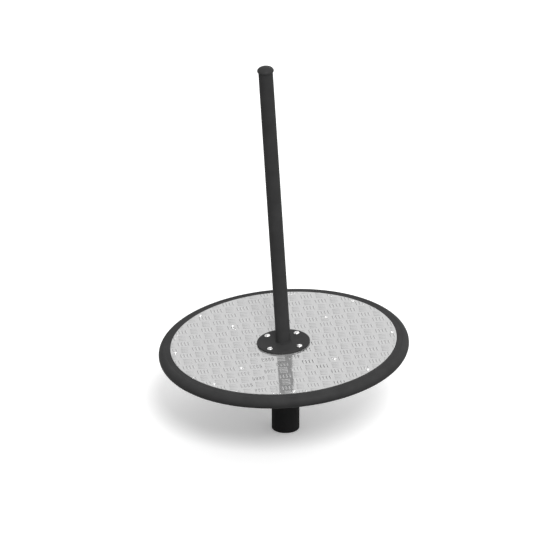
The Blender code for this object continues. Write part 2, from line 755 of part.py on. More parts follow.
def frame_arms():
    """Four rectangular tubes from hub to rim, coped round both and notched under flange and ledge."""
    centre_z = FRAME_TOP_Z - ARM_HEIGHT / 2
    start = HUB_RADIUS * 0.5
    end = RIM_RADIUS
    round_hub = HUB_RADIUS / math.cos(math.pi / FLANGE_SEGMENTS) + GAP
    shaped = turned(
        "hub_cope",
        [
            (0.0, FRAME_TOP_Z - 2 * ARM_HEIGHT),
            (round_hub, FRAME_TOP_Z - 2 * ARM_HEIGHT),
            (round_hub, HUB_FLANGE_Z - GAP),
            (HUB_FLANGE_RADIUS + GAP, HUB_FLANGE_Z - GAP),
            (HUB_FLANGE_RADIUS + GAP, FRAME_TOP_Z + ARM_HEIGHT),
            (0.0, FRAME_TOP_Z + ARM_HEIGHT),
        ],
        FLANGE_SEGMENTS,
    )
    hub_cope = guide("hub_cope", shaped, deck_axis)
    rim_cope = guide(
        "rim_cope",
        turned(
            "rim_cope",
            circle_profile(RIM_RADIUS, RIM_TUBE_RADIUS + GAP, RIM_Z, RIM_TUBE_SIDES),
            RIM_SEGMENTS,
        ),
        deck_axis,
    )
    notch_inner = ledge_outer_radius() - LEDGE_WIDTH - GAP
    notch_bottom = FRAME_TOP_Z - LEDGE_THICKNESS - GAP
    ledge_notch = guide(
        "ledge_notch",
        turned(
            "ledge_notch",
            ring_profile(notch_inner, 2 * RIM_RADIUS, notch_bottom, FRAME_TOP_Z + ARM_HEIGHT),
            RIM_SEGMENTS,
        ),
        deck_axis,
    )
    for number, (_, _, angle) in enumerate(places(ARMS, 1.0, ARM_TURN), start=1):
        arm = add_object(
            f"frame_arm_{number}",
            box_bar("frame_arm", ARM_WIDTH, ARM_HEIGHT, ARM_CORNER, centre_z, start, end, 2),
            BLACK_COAT,
            deck_axis,
        )
        arm.rotation_euler = (0.0, 0.0, angle)
        inside = box_bar(
            f"arm_inside_{number}",
            ARM_WIDTH - 2 * ARM_WALL,
            ARM_HEIGHT - 2 * ARM_WALL,
            ARM_CORNER - ARM_WALL,
            centre_z,
            start - 0.01,
            end + 0.01,
            1,
        )
        core = guide(f"arm_inside_{number}", inside, deck_axis)
        core.rotation_euler = (0.0, 0.0, angle)
        combine(arm, core)
        combine(arm, hub_cope)
        combine(arm, rim_cope)
        combine(arm, ledge_notch)
        drill = guide(
            f"arm_drill_{number}",
            pegs(
                "arm_drill",
                [(ARM_SCREW_RADIUS, 0.0, 0.0)],
                SCREW_TAPPED,
                FRAME_TOP_Z - ARM_WALL - 0.003,
                FRAME_TOP_Z + 0.003,
                SCREW_SEGMENTS,
            ),
            deck_axis,
        )
        drill.rotation_euler = (0.0, 0.0, angle)
        combine(arm, drill)


def tread_plate():
    """Round plate with screw holes, and an opening over the axle that the pole's flange covers.

    One more ring of vertices, just outside that flange, starts the clear faces that the feet stand on.
    """
    section = ring_profile(BORE_RADIUS + BEARING_PASS, PLATE_RADIUS, PLATE_Z, DECK_Z)
    section.insert(3, (POLE_FLANGE_RADIUS + STANDING_MARGIN, DECK_Z))
    disc = turned("tread_plate", section, RIM_SEGMENTS)
    plate = add_object("tread_plate", disc, TREAD_ALUMINIUM, deck_axis)
    below = PLATE_Z - 0.003
    above = DECK_Z + 0.003
    screws = places(RIM_SCREWS, RIM_SCREW_RADIUS, ARM_TURN) + places(ARMS, ARM_SCREW_RADIUS, ARM_TURN)
    drill = pegs("plate_screw_drill", screws, SCREW_HOLE, below, above, SCREW_SEGMENTS)
    combine(plate, guide("plate_screw_drill", drill, deck_axis))
    bolts = places(FLANGE_BOLTS, FLANGE_BOLT_RADIUS, ARM_TURN)
    drill = pegs("plate_bolt_drill", bolts, BOLT_HOLE, below, above)
    combine(plate, guide("plate_bolt_drill", drill, deck_axis))


def domed_head(diameter, height, steps):
    """Right half of a low domed head, from its seat's edge to its crown."""
    edge = height * 0.18
    points = [(diameter / 2, 0.0), (diameter / 2, edge)]
    for step in range(1, steps):
        angle = math.pi / 2 * step / steps
        points.append((diameter / 2 * math.cos(angle), edge + (height - edge) * math.sin(angle)))
    points.append((0.0, height))
    return points


def plate_screws():
    """Domed screws down through the plate into the ledge, and four more into the arms."""
    section = [(0.0, -SCREW_LENGTH), (SCREW_DIAMETER / 2, -SCREW_LENGTH), (SCREW_DIAMETER / 2, 0.0)]
    section += domed_head(SCREW_HEAD_DIAMETER, SCREW_HEAD_HEIGHT, 3)
    screw = turned("plate_screw", section, SCREW_SEGMENTS)
    for number, spot in enumerate(places(RIM_SCREWS, RIM_SCREW_RADIUS, ARM_TURN), start=1):
        place(add_object(f"rim_screw_{number}", screw.copy(), STAINLESS, deck_axis), spot, DECK_Z + GAP)
    for number, spot in enumerate(places(ARMS, ARM_SCREW_RADIUS, ARM_TURN), start=1):
        place(add_object(f"arm_screw_{number}", screw.copy(), STAINLESS, deck_axis), spot, DECK_Z + GAP)


def pole_group():
    """Pole welded on its round flange, the four socket bolts that hold it, and the cap in its end."""
    flange = add_object(
        "pole_flange",
        turned(
            "pole_flange",
            bevelled_ring(
                POLE_FLANGE_BORE / 2,
                POLE_FLANGE_RADIUS,
                POLE_FLANGE_Z,
                POLE_FLANGE_Z + POLE_FLANGE_THICKNESS,
                0.001,
            ),
            FLANGE_SEGMENTS,
        ),
        BLACK_COAT,
        deck_axis,
    )
    bolts = places(FLANGE_BOLTS, FLANGE_BOLT_RADIUS, ARM_TURN)
    drill = pegs(
        "pole_flange_drill",
        bolts,
        BOLT_HOLE,
        POLE_FLANGE_Z - 0.003,
        POLE_FLANGE_Z + POLE_FLANGE_THICKNESS + 0.003,
    )
    combine(flange, guide("pole_flange_drill", drill, deck_axis))
    pole_radius = POLE_DIAMETER / 2
    add_object(
        "pole",
        turned(
            "pole",
            ring_profile(pole_radius - POLE_WALL, pole_radius, POLE_Z, POLE_TOP_Z),
            TUBE_SEGMENTS,
        ),
        BLACK_COAT,
        deck_axis,
    )
    seat = POLE_FLANGE_Z + POLE_FLANGE_THICKNESS + GAP
    length = seat - HUB_FLANGE_Z - 0.0005
    section = [(0.0, -length), (BOLT_DIAMETER / 2, -length), (BOLT_DIAMETER / 2, 0.0)]
    section += domed_head(BOLT_HEAD_DIAMETER, BOLT_HEAD_HEIGHT, 4)
    shape = turned("flange_bolt", section, BOLT_SEGMENTS)
    for number, spot in enumerate(bolts, start=1):
        bolt = place(add_object(f"flange_bolt_{number}", shape.copy(), STAINLESS, deck_axis), spot, seat)
        key = extruded(
            "socket",
            regular_outline(BOLT_SOCKET / 2 / math.cos(math.pi / 6), 6),
            BOLT_HEAD_HEIGHT - BOLT_SOCKET_DEPTH,
            BOLT_HEAD_HEIGHT * 2,
        )
        combine(bolt, place(guide(f"bolt_socket_{number}", key, deck_axis), spot, seat))


def pole_cap():
    """Moulded cap: a dome with a lip on the tube's end, and a ribbed hollow plug inside it."""
    bore = POLE_DIAMETER / 2 - POLE_WALL - GAP
    rim = POLE_DIAMETER / 2 + CAP_OVERHANG
    core = bore - CAP_RIB_HEIGHT
    inside = core - CAP_PLUG_WALL
    foot = CAP_Z - CAP_PLUG_DEPTH
    section = [(0.0, CAP_Z), (inside, CAP_Z), (inside, foot), (core, foot)]
    pitch = CAP_PLUG_DEPTH / (CAP_RIBS + 1)
    for rib in range(CAP_RIBS):
        height = foot + pitch * (rib + 0.6)
        section += [(core, height), (bore, height + pitch * 0.45), (core, height + pitch * 0.55)]
    section += [(core, CAP_Z), (rim, CAP_Z), (rim, CAP_Z + CAP_LIP)]
    for step in range(1, 4):
        angle = math.pi / 2 * step / 4
        section.append((rim * math.cos(angle), CAP_Z + CAP_LIP + CAP_DOME * math.sin(angle)))
    section.append((0.0, CAP_Z + CAP_LIP + CAP_DOME))
    add_object("pole_cap", turned("pole_cap", section, BEARING_SEGMENTS), CAP_PLASTIC, deck_axis)


ground_post()
post_head_plate()
axle()
axle_bolts()
bearing("lower", LOWER_BEARING_Z)
bearing("upper", UPPER_BEARING_Z)
spacer_and_nut()
hub()
retaining_ring()
dust_seal()
rim_ring()
rim_ledge()
frame_arms()
tread_plate()
plate_screws()
pole_group()
pole_cap()
bpy.context.view_layer.update()
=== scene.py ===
"""Looks of the inclined spinner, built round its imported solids, from the ground post up to the pole's cap.

Metres, +Z up, origin at the middle of the post's foot. Pieces above the post are shaped upright on the spin
axis, with heights measured along it from the post's slanted top, and are then leaned as one.
"""

import json
import math

import bmesh
import bpy
from mathutils import Matrix, Vector


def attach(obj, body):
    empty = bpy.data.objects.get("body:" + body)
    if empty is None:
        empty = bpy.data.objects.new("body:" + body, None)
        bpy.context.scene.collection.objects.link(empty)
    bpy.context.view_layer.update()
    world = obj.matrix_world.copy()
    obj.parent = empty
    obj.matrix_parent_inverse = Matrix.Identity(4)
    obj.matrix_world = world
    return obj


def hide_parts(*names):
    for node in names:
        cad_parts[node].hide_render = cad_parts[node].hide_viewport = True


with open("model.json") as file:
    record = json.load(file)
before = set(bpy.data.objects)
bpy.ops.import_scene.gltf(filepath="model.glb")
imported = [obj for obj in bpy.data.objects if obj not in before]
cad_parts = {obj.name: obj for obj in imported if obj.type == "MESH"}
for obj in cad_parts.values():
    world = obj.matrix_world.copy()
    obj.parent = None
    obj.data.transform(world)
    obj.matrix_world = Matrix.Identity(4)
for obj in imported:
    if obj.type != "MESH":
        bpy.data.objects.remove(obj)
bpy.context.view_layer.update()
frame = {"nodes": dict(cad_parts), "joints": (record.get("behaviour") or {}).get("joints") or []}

# Ground post: a length of 114.3 mm steel tube, sawn on a slant at the top so that all above it leans.
# Black powder coat over steel; its foot goes on into the ground anchor.
POST_RADIUS = 0.05715
POST_WALL = 0.004
POST_EDGE = 0.0006
FACETS = 96
CREASE = 32.0
ON_AXIS = 1e-7
STRAIGHT = 0.995
MOST_OF_SIDE = 0.45
LONG_SIDE = 6
spin_axis = Vector(frame["joints"][0]["axis"]).normalized()
spin_foot = Vector(frame["joints"][0]["pos_m"])
lean = math.atan2(-spin_axis.x, spin_axis.z)
leaned = Matrix.Translation(spin_foot) @ Matrix.Rotation(-lean, 4, "Y")
unleaned = Matrix.Identity(4)


def flat_ring(inner, outer, bottom, top):
    """The four corners of a flat ring's section, or of a tube's."""
    return [(inner, bottom), (outer, bottom), (outer, top), (inner, top)]


def softened(corners, radius, steps=3, whole=True):
    """Section whose sharp corners are rounded by short curves of about that radius.

    A point is added on each long side next to a curve, so that the flats stay flat to the light. An open
    section keeps its two ends as they are.
    """
    points = []
    for number, corner in enumerate(corners):
        here = Vector(corner)
        before = Vector(corners[number - 1]) - here
        after = Vector(corners[(number + 1) % len(corners)]) - here
        open_end = not whole and number in (0, len(corners) - 1)
        straight = before.normalized().dot(-after.normalized()) > STRAIGHT
        if open_end or straight:
            points.append(tuple(here))
            continue
        reach = min(radius, before.length * MOST_OF_SIDE, after.length * MOST_OF_SIDE)
        start = here + before.normalized() * reach
        end = here + after.normalized() * reach
        if before.length > LONG_SIDE * reach:
            points.append(tuple(here + before.normalized() * 2 * reach))
        for step in range(steps + 1):
            share = step / steps
            bent = (1 - share) ** 2 * start + 2 * share * (1 - share) * here + share**2 * end
            points.append(tuple(bent))
        if after.length > LONG_SIDE * reach:
            points.append(tuple(here + after.normalized() * 2 * reach))
    return points


def turned(section, segments, closed=True):
    """Lathe work: a section of (radius, height) points turned about the axis.

    A third number in a point makes that ring a polygon with so many flats. Open sections end on the axis.
    """
    bm = bmesh.new()
    rings = []
    for radius, height, *flats in section:
        if radius < ON_AXIS:
            rings.append([bm.verts.new((0.0, 0.0, height))])
            continue
        ring = []
        for index in range(segments):
            angle = 2 * math.pi * index / segments
            reach = radius
            if flats:
                half = math.pi / flats[0]
                reach = radius / math.cos((angle % (2 * half)) - half)
            ring.append(bm.verts.new((reach * math.cos(angle), reach * math.sin(angle), height)))
        rings.append(ring)
    count = len(rings)
    for number in range(count if closed else count - 1):
        low = rings[number]
        high = rings[(number + 1) % count]
        for index in range(segments):
            following = (index + 1) % segments
            corners = []
            for ring, place in ((low, index), (low, following), (high, following), (high, index)):
                if ring[place % len(ring)] not in corners:
                    corners.append(ring[place % len(ring)])
            if len(corners) > 2:
                bm.faces.new(corners)
    bmesh.ops.recalc_face_normals(bm, faces=bm.faces)
    return bm


def piece(name, bm, place=leaned, crease=CREASE):
    """Makes a shape an object, in its place in the mesh, smooth but for its creases."""
    bmesh.ops.transform(bm, matrix=place, verts=bm.verts)
    mesh = bpy.data.meshes.new(name)
    bm.to_mesh(mesh)
    bm.free()
    mesh.shade_smooth()
    mesh.set_sharp_from_angle(angle=math.radians(crease))
    made = bpy.data.objects.new(name, mesh)
    bpy.context.collection.objects.link(made)
    return made


def carried(made, body, slot, material, *nodes):
    """Coats a finished piece, ties it to the body it moves with, and hides the imported solids it stands for.
    """
    made.data.materials.clear()
    made.data.materials.append(material)
    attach(made, body)
    if nodes:
        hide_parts(*nodes)


def joined(socket, value):
    """Links a node's input to another node's output, or sets it to a value."""
    if isinstance(value, bpy.types.NodeSocket):
        socket.id_data.links.new(value, socket)
    else:
        socket.default_value = value


def add(tree, kind, settings=None, **inputs):
    """A node with its settings; inputs are values or sockets, named as on the node with _ for spaces."""
    made = tree.nodes.new(kind)
    for key, value in (settings or {}).items():
        setattr(made, key, value)
    for key, value in inputs.items():
        joined(made.inputs[key.replace("_", " ")], value)
    return made


def maths(tree, operation, *values):
    """What a math node makes of these values or sockets."""
    made = add(tree, "ShaderNodeMath", {"operation": operation})
    for socket, value in zip(made.inputs, values):
        joined(socket, value)
    return made.outputs[0]


def ranged(tree, value, start, end, low=0.0, high=1.0):
    """A number between low and high that follows a value on its way from start to end."""
    made = add(tree, "ShaderNodeMapRange", Value=value, From_Min=start, From_Max=end, To_Min=low, To_Max=high)
    return made.outputs[0]


def mixed(tree, share, first, second, kind="RGBA", blend="MIX"):
    """The colour, or for kind FLOAT the number, that lies so far on from the first to the second."""
    made = add(tree, "ShaderNodeMix", {"data_type": kind, "blend_type": blend})
    places, result = {"RGBA": ((0, 6, 7), 2), "FLOAT": ((0, 2, 3), 0)}[kind]
    for place, value in zip(places, (share, first, second)):
        joined(made.inputs[place], value)
    return made.outputs[result]


def effect(name, takes, gives):
    """A new shader group with named inputs and outputs."""
    group = bpy.data.node_groups.new(name, "ShaderNodeTree")
    for label, value in takes:
        group.interface.new_socket(label, in_out="INPUT", socket_type="NodeSocketFloat").default_value = value
    for label in gives:
        group.interface.new_socket(label, in_out="OUTPUT", socket_type="NodeSocketFloat")
    return group, group.nodes.new("NodeGroupInput"), group.nodes.new("NodeGroupOutput")


# Orange peel is the fine dimpled skin that powder leaves as it melts; Shade tells its duller patches.
peel, took, gave = effect(
    "orange_peel", [("Grain", 700.0), ("Patch", 18.0), ("Spread", 0.25)], ["Height", "Shade"]
)
where = add(peel, "ShaderNodeTexCoord").outputs["Object"]
dimples = add(peel, "ShaderNodeTexNoise", Vector=where, Scale=took.outputs["Grain"], Detail=2.0)
patches = add(peel, "ShaderNodeTexNoise", Vector=where, Scale=took.outputs["Patch"], Detail=3.0)
centred = maths(peel, "SUBTRACT", patches.outputs["Fac"], 0.5)
joined(gave.inputs["Height"], dimples.outputs["Fac"])
joined(gave.inputs["Shade"], maths(peel, "MULTIPLY", centred, took.outputs["Spread"]))


def blank(name):
    """A new material, with its tree and its shader."""
    material = bpy.data.materials.new(name)
    material.use_nodes = True
    return material, material.node_tree, material.node_tree.nodes["Principled BSDF"]


def embossed(tree, shader, height, depth):
    """Gives a shader a fine relief of that depth."""
    bump = add(tree, "ShaderNodeBump", Strength=1.0, Distance=depth, Height=height)
    joined(shader.inputs["Normal"], bump.outputs[0])


def powder_coat(name, colour, roughness, specular, depth=0.00006, grain=650.0, spread=0.5):
    """Satin black coat: dark base, weak gloss, orange-peel bump, and patches a little duller than others."""
    material, tree, shader = blank(name)
    material.diffuse_color = (*colour, 1.0)
    shader.inputs["Specular IOR Level"].default_value = specular
    skin = add(tree, "ShaderNodeGroup", {"node_tree": peel}, Grain=grain, Patch=16.0, Spread=spread)
    tone = ranged(tree, skin.outputs["Shade"], -0.2, 0.2, 0.78, 1.22)
    joined(shader.inputs["Base Color"], mixed(tree, 1.0, (*colour, 1.0), tone, blend="MULTIPLY"))
    joined(shader.inputs["Roughness"], maths(tree, "MULTIPLY_ADD", skin.outputs["Shade"], 0.4, roughness))
    embossed(tree, shader, skin.outputs["Height"], depth)
    return material


# The post's coat is a darker copy of the deck's black: the extra darkness is painted shade for the deck's
# shadow on the post.
post_coat = powder_coat("post_powder_coat", (0.026, 0.026, 0.0263), roughness=0.55, specular=0.02)
black_coat = powder_coat("black_powder_coat", (0.041, 0.041, 0.0414), roughness=0.52, specular=0.03)

post_section = softened(flat_ring(POST_RADIUS - POST_WALL, POST_RADIUS, 0.0, spin_foot.z), POST_EDGE)
tube = turned(post_section, FACETS)
for vertex in tube.verts:
    if vertex.co.z > spin_foot.z / 2:
        vertex.co.z += vertex.co.x * math.tan(lean)
carried(piece("post_tube", tube, unleaned), "post", "post_coat", post_coat, "ground_post")

# Post head: a 12 mm round plate welded on the slanted end, bored in the middle for the spindle's spigot and
# drilled for four bolts. Coated with the post.
GAP = 0.0003
HEAD_Z = GAP
HEAD_TOP = HEAD_Z + 0.012
HEAD_RADIUS = 0.08792
HEAD_EDGE = 0.001
SPIGOT_RADIUS = 0.030
BOLT_HOLE = 0.0065
HEAD_BOLT_RADIUS = 0.07192
BOLT_TURN = math.radians(45.0)
DRILL_PAST = 0.002
DRILL_FACETS = 32


def settled(made):
    """Makes what an object's modifiers give its own plain mesh."""
    bpy.context.view_layer.update()
    evaluated = made.evaluated_get(bpy.context.evaluated_depsgraph_get())
    result = bpy.data.meshes.new_from_object(evaluated)
    made.modifiers.clear()
    made.data = result


def cut(made, tool):
    """Takes one shape out of another and throws the tool away."""
    step = made.modifiers.new("cut", "BOOLEAN")
    step.operation = "DIFFERENCE"
    step.solver = "EXACT"
    step.object = tool
    settled(made)
    bpy.data.objects.remove(tool, do_unlink=True)
    made.data.shade_smooth()
    made.data.set_sharp_from_angle(angle=math.radians(CREASE))


def drilled(made, spots, radius, bottom, top, place=leaned):
    """Cuts round holes down through a piece, from its top to its bottom and a little past both."""
    bm = bmesh.new()
    depth = top - bottom + 2 * DRILL_PAST
    for x, y in spots:
        drill = bmesh.ops.create_cone(
            bm, cap_ends=True, segments=DRILL_FACETS, radius1=radius, radius2=radius, depth=depth
        )
        bmesh.ops.translate(bm, verts=drill["verts"], vec=(x, y, (top + bottom) / 2))
    cut(made, piece("drill_bits", bm, place))


def off(point, reach, angle):
    """The point that lies so far off another in that direction."""
    return (point[0] + reach * math.cos(angle), point[1] + reach * math.sin(angle))


def ring_of(count, radius, turn=0.0, middle=(0.0, 0.0)):
    """Points evenly spaced on a circle round the axis, or round another middle."""
    return [off(middle, radius, turn + 2 * math.pi * number / count) for number in range(count)]


head_section = softened(flat_ring(SPIGOT_RADIUS + GAP, HEAD_RADIUS, HEAD_Z, HEAD_TOP), HEAD_EDGE)
head = piece("post_head", turned(head_section, FACETS))
drilled(head, ring_of(4, HEAD_BOLT_RADIUS, BOLT_TURN), BOLT_HOLE, HEAD_Z, HEAD_TOP)
carried(head, "post", "post_coat", post_coat, "post_head_plate")

# Weld beads join post and head, and later hub, arms, rim, ledge, pole and flange: one run of overlapping
# ripples of filler metal, laid along each joint and coated over with the rest.
RIPPLE_PITCH = 0.0032
RIPPLE_DEPTH = 0.0007
RINGS_IN_RIPPLE = 5.0
MEETING = 1e-6
POST_BEAD = 0.0036
POST_SEAM = POST_RADIUS + 0.0008
POST_SEAM_Z = HEAD_Z - 0.0015


def growing_tree(name, sockets):
    """A geometry tree with its named inputs after the geometry."""
    tree = bpy.data.node_groups.new(name, "GeometryNodeTree")
    for label, kind in (("Geometry", "Geometry"), *sockets):
        tree.interface.new_socket(label, in_out="INPUT", socket_type=f"NodeSocket{kind}")
    tree.interface.new_socket("Geometry", in_out="OUTPUT", socket_type="NodeSocketGeometry")
    return tree, tree.nodes.new("NodeGroupInput"), tree.nodes.new("NodeGroupOutput")


def made_real(tree, took, gave, geometry):
    """Ends a tree: its instances are made real and take the material of its input Coat."""
    real = add(tree, "GeometryNodeRealizeInstances", Geometry=geometry)
    coat = add(tree, "GeometryNodeSetMaterial", Geometry=real.outputs[0], Material=took.outputs["Coat"])
    joined(gave.inputs[0], coat.outputs[0])


def grown(made, tree, **values):
    """Runs a geometry tree on an object with these named inputs, and keeps the result as its plain mesh."""
    step = made.modifiers.new(tree.name, "NODES")
    step.node_group = tree
    for item in tree.interface.items_tree:
        if item.in_out == "INPUT" and item.name.replace(" ", "_") in values:
            step[item.identifier] = values[item.name.replace(" ", "_")]
    settled(made)


bead_tree, took, gave = growing_tree(
    "weld_bead",
    [("Bead Radius", "Float"), ("Ripple Pitch", "Float"), ("Ripple Depth", "Float"), ("Coat", "Material")],
)
seam = add(bead_tree, "GeometryNodeMeshToCurve", Mesh=took.outputs["Geometry"])
stride = maths(bead_tree, "DIVIDE", took.outputs["Ripple Pitch"], RINGS_IN_RIPPLE)
even = add(bead_tree, "GeometryNodeResampleCurve", {"mode": "LENGTH"}, Curve=seam.outputs[0], Length=stride)
along = add(bead_tree, "GeometryNodeSplineParameter").outputs["Length"]
phase = maths(bead_tree, "FRACT", maths(bead_tree, "DIVIDE", along, took.outputs["Ripple Pitch"]))
fall = maths(bead_tree, "MULTIPLY", phase, took.outputs["Ripple Depth"])
swell = maths(bead_tree, "SUBTRACT", took.outputs["Bead Radius"], fall)
thick = add(bead_tree, "GeometryNodeSetCurveRadius", Curve=even.outputs[0], Radius=swell)
run = add(
    bead_tree,
    "GeometryNodeCurveToMesh",
    Curve=thick.outputs[0],
    Profile_Curve=add(bead_tree, "GeometryNodeCurvePrimitiveCircle", Resolution=8, Radius=1.0).outputs[0],
    Scale=add(bead_tree, "GeometryNodeInputRadius").outputs[0],
    Fill_Caps=True,
)
smooth = add(bead_tree, "GeometryNodeSetShadeSmooth", Geometry=run.outputs[0])
made_real(bead_tree, took, gave, smooth.outputs[0])


def beads(name, paths, radius, material):
    """Weld runs along paths of points; a path whose ends meet is closed."""
    bm = bmesh.new()
    for path in paths:
        shut = (Vector(path[0]) - Vector(path[-1])).length < MEETING
        spots = [bm.verts.new(point) for point in (path[:-1] if shut else path)]
        for first, second in zip(spots, spots[1:]):
            bm.edges.new((first, second))
        if shut:
            bm.edges.new((spots[-1], spots[0]))
    laid = piece(name, bm)
    grown(
        laid,
        bead_tree,
        Bead_Radius=radius,
        Ripple_Pitch=RIPPLE_PITCH,
        Ripple_Depth=RIPPLE_DEPTH,
        Coat=material,
    )
    return laid


def round_path(radius, height, steps=180, start=0.0, sweep=360.0):
    """Points along a circle round the axis, or along so many degrees of it."""
    angles = [math.radians(start + sweep * step / steps) for step in range(steps + 1)]
    return [(radius * math.cos(angle), radius * math.sin(angle), height) for angle in angles]


post_seam = round_path(POST_SEAM, POST_SEAM_Z)
carried(beads("post_head_weld", [post_seam], POST_BEAD, post_coat), "post", "post_coat", post_coat)

# Spindle: turned from one bar, with a spigot in the head plate, a bolted foot flange, a collar and a shaft.
# Plain machined steel, lightly oiled; the lathe's fine feed marks run round it.
SPIGOT_Z = HEAD_Z + 0.004
SPINDLE_Z = HEAD_TOP + GAP
SPINDLE_TOP = SPINDLE_Z + 0.012
COLLAR_RADIUS = 0.025
COLLAR_TOP = 0.0483
SHAFT_RADIUS = 0.020
SHAFT_END = 0.1291
SPINDLE_EDGE = 0.0011

marks, took, gave = effect("machining_marks", [("Pitch", 900.0), ("Stain", 30.0)], ["Height", "Stain"])
where = add(marks, "ShaderNodeTexCoord").outputs["Object"]
stretch = add(marks, "ShaderNodeVectorMath", {"operation": "MULTIPLY"})
joined(stretch.inputs[0], where)
joined(stretch.inputs[1], (0.06, 0.06, 1.0))
feed = add(marks, "ShaderNodeTexNoise", Vector=stretch.outputs[0], Scale=took.outputs["Pitch"], Detail=1.0)
blotch = add(marks, "ShaderNodeTexNoise", Vector=where, Scale=took.outputs["Stain"], Detail=4.0)
joined(gave.inputs["Height"], feed.outputs["Fac"])
joined(gave.inputs["Stain"], blotch.outputs["Fac"])


def bare_metal(name, colour, stained, roughness, spread, pitch, depth):
    """Bare or plated metal: machining marks as bump, and stains that change its colour and gloss a little."""
    material, tree, shader = blank(name)
    material.diffuse_color = (*colour, 1.0)
    shader.inputs["Metallic"].default_value = 1.0
    skin = add(tree, "ShaderNodeGroup", {"node_tree": marks}, Pitch=pitch, Stain=35.0)
    stains = ranged(tree, skin.outputs["Stain"], 0.35, 0.7)
    joined(shader.inputs["Base Color"], mixed(tree, stains, (*colour, 1.0), (*stained, 1.0)))
    dull = ranged(tree, skin.outputs["Stain"], 0.3, 0.7, roughness - spread, roughness + spread)
    joined(shader.inputs["Roughness"], dull)
    embossed(tree, shader, skin.outputs["Height"], depth)
    return material


machined = bare_metal(
    "machined_steel", (0.50, 0.50, 0.51), (0.40, 0.39, 0.37),
    roughness=0.30, spread=0.06, pitch=1400.0, depth=0.00004,
)
zinc = bare_metal(
    "zinc_plate", (0.60, 0.62, 0.65), (0.50, 0.52, 0.54),
    roughness=0.36, spread=0.08, pitch=500.0, depth=0.00003,
)
stainless = bare_metal(
    "stainless_steel", (0.95, 0.95, 0.945), (0.90, 0.90, 0.895),
    roughness=0.30, spread=0.05, pitch=700.0, depth=0.00002,
)
ground_steel = bare_metal(
    "bearing_steel", (0.62, 0.62, 0.63), (0.56, 0.56, 0.57),
    roughness=0.16, spread=0.03, pitch=2200.0, depth=0.00001,
)

spindle_section = [
    (0.0, SPIGOT_Z),
    (SPIGOT_RADIUS, SPIGOT_Z),
    (SPIGOT_RADIUS, SPINDLE_Z),
    (HEAD_RADIUS, SPINDLE_Z),
    (HEAD_RADIUS, SPINDLE_TOP),
    (COLLAR_RADIUS, SPINDLE_TOP),
    (COLLAR_RADIUS, COLLAR_TOP),
    (SHAFT_RADIUS, COLLAR_TOP),
    (SHAFT_RADIUS, SHAFT_END),
    (0.0, SHAFT_END),
]
spindle = piece("spindle", turned(softened(spindle_section, SPINDLE_EDGE, whole=False), FACETS, closed=False))
drilled(spindle, ring_of(4, HEAD_BOLT_RADIUS, BOLT_TURN), BOLT_HOLE, SPINDLE_Z, SPINDLE_TOP)
carried(spindle, "post", "machined_steel", machined, "axle")

# Spindle bolts: four M12 hexagon bolts down through flange and head plate, each with a nut below.
# Bright zinc plate; the heads are chamfered on top, and a chamfered, threaded tip stands past each nut.
M12_RADIUS = 0.006
M12_PITCH = 0.00175
THREAD_DEPTH = 0.6
HEX_HALF = 0.0095
HEX_HEAD = 0.0075
HEX_ROUND = 0.92
HEAD_CHAMFER = 0.0009
HEAD_SKIRT = 1.05
SKIRT_DROP = 0.0005
BOLT_LENGTH = 0.0387
TIP_CHAMFER = 0.0012
NUT_HEIGHT = 0.0108
NUT_CHAMFER = 0.0008
BOLT_FACETS = 36

set_out, took, gave = growing_tree(
    "ring_of_parts",
    [
        ("Count", "Int"),
        ("Radius", "Float"),
        ("Height", "Float"),
        ("First Angle", "Float"),
        ("Part", "Object"),
        ("Coat", "Material"),
    ],
)
spots = add(set_out, "GeometryNodeMeshCircle", Vertices=took.outputs["Count"], Radius=took.outputs["Radius"])
lift = add(set_out, "ShaderNodeCombineXYZ", Z=took.outputs["Height"])
spin = add(set_out, "ShaderNodeCombineXYZ", Z=took.outputs["First Angle"])
stood = add(
    set_out,
    "GeometryNodeTransform",
    Geometry=spots.outputs[0],
    Translation=lift.outputs[0],
    Rotation=spin.outputs[0],
)
share = maths(set_out, "DIVIDE", add(set_out, "GeometryNodeInputIndex").outputs[0], took.outputs["Count"])
facing = maths(set_out, "MULTIPLY_ADD", share, 2 * math.pi, took.outputs["First Angle"])
part = add(set_out, "GeometryNodeObjectInfo", Object=took.outputs["Part"])
copies = add(
    set_out,
    "GeometryNodeInstanceOnPoints",
    Points=stood.outputs[0],
    Instance=part.outputs["Geometry"],
    Rotation=add(set_out, "ShaderNodeCombineXYZ", Z=facing).outputs[0],
)
made_real(set_out, took, gave, copies.outputs[0])


def thread(radius, start, turns, pitch):
    """Grooves of a screw thread, so many turns up from a height, as points of a section."""
    points = []
    for number in range(turns):
        height = start + pitch * number
        points += [(radius, height), (radius - THREAD_DEPTH * pitch, height + 0.5 * pitch)]
    return points + [(radius, start + pitch * turns)]


def parts_on_ring(name, shape, count, radius, height, first, material):
    """So many copies of one part on a circle round the axis, as one mesh."""
    source = piece(f"{name}_one", shape, unleaned, crease=28.0)
    host = bpy.data.objects.new(name, bpy.data.meshes.new(name))
    bpy.context.collection.objects.link(host)
    grown(
        host,
        set_out,
        Count=count,
        Radius=radius,
        Height=height,
        First_Angle=first,
        Part=source,
        Coat=material,
    )
    host.data.transform(leaned)
    bpy.data.objects.remove(source, do_unlink=True)
    return host


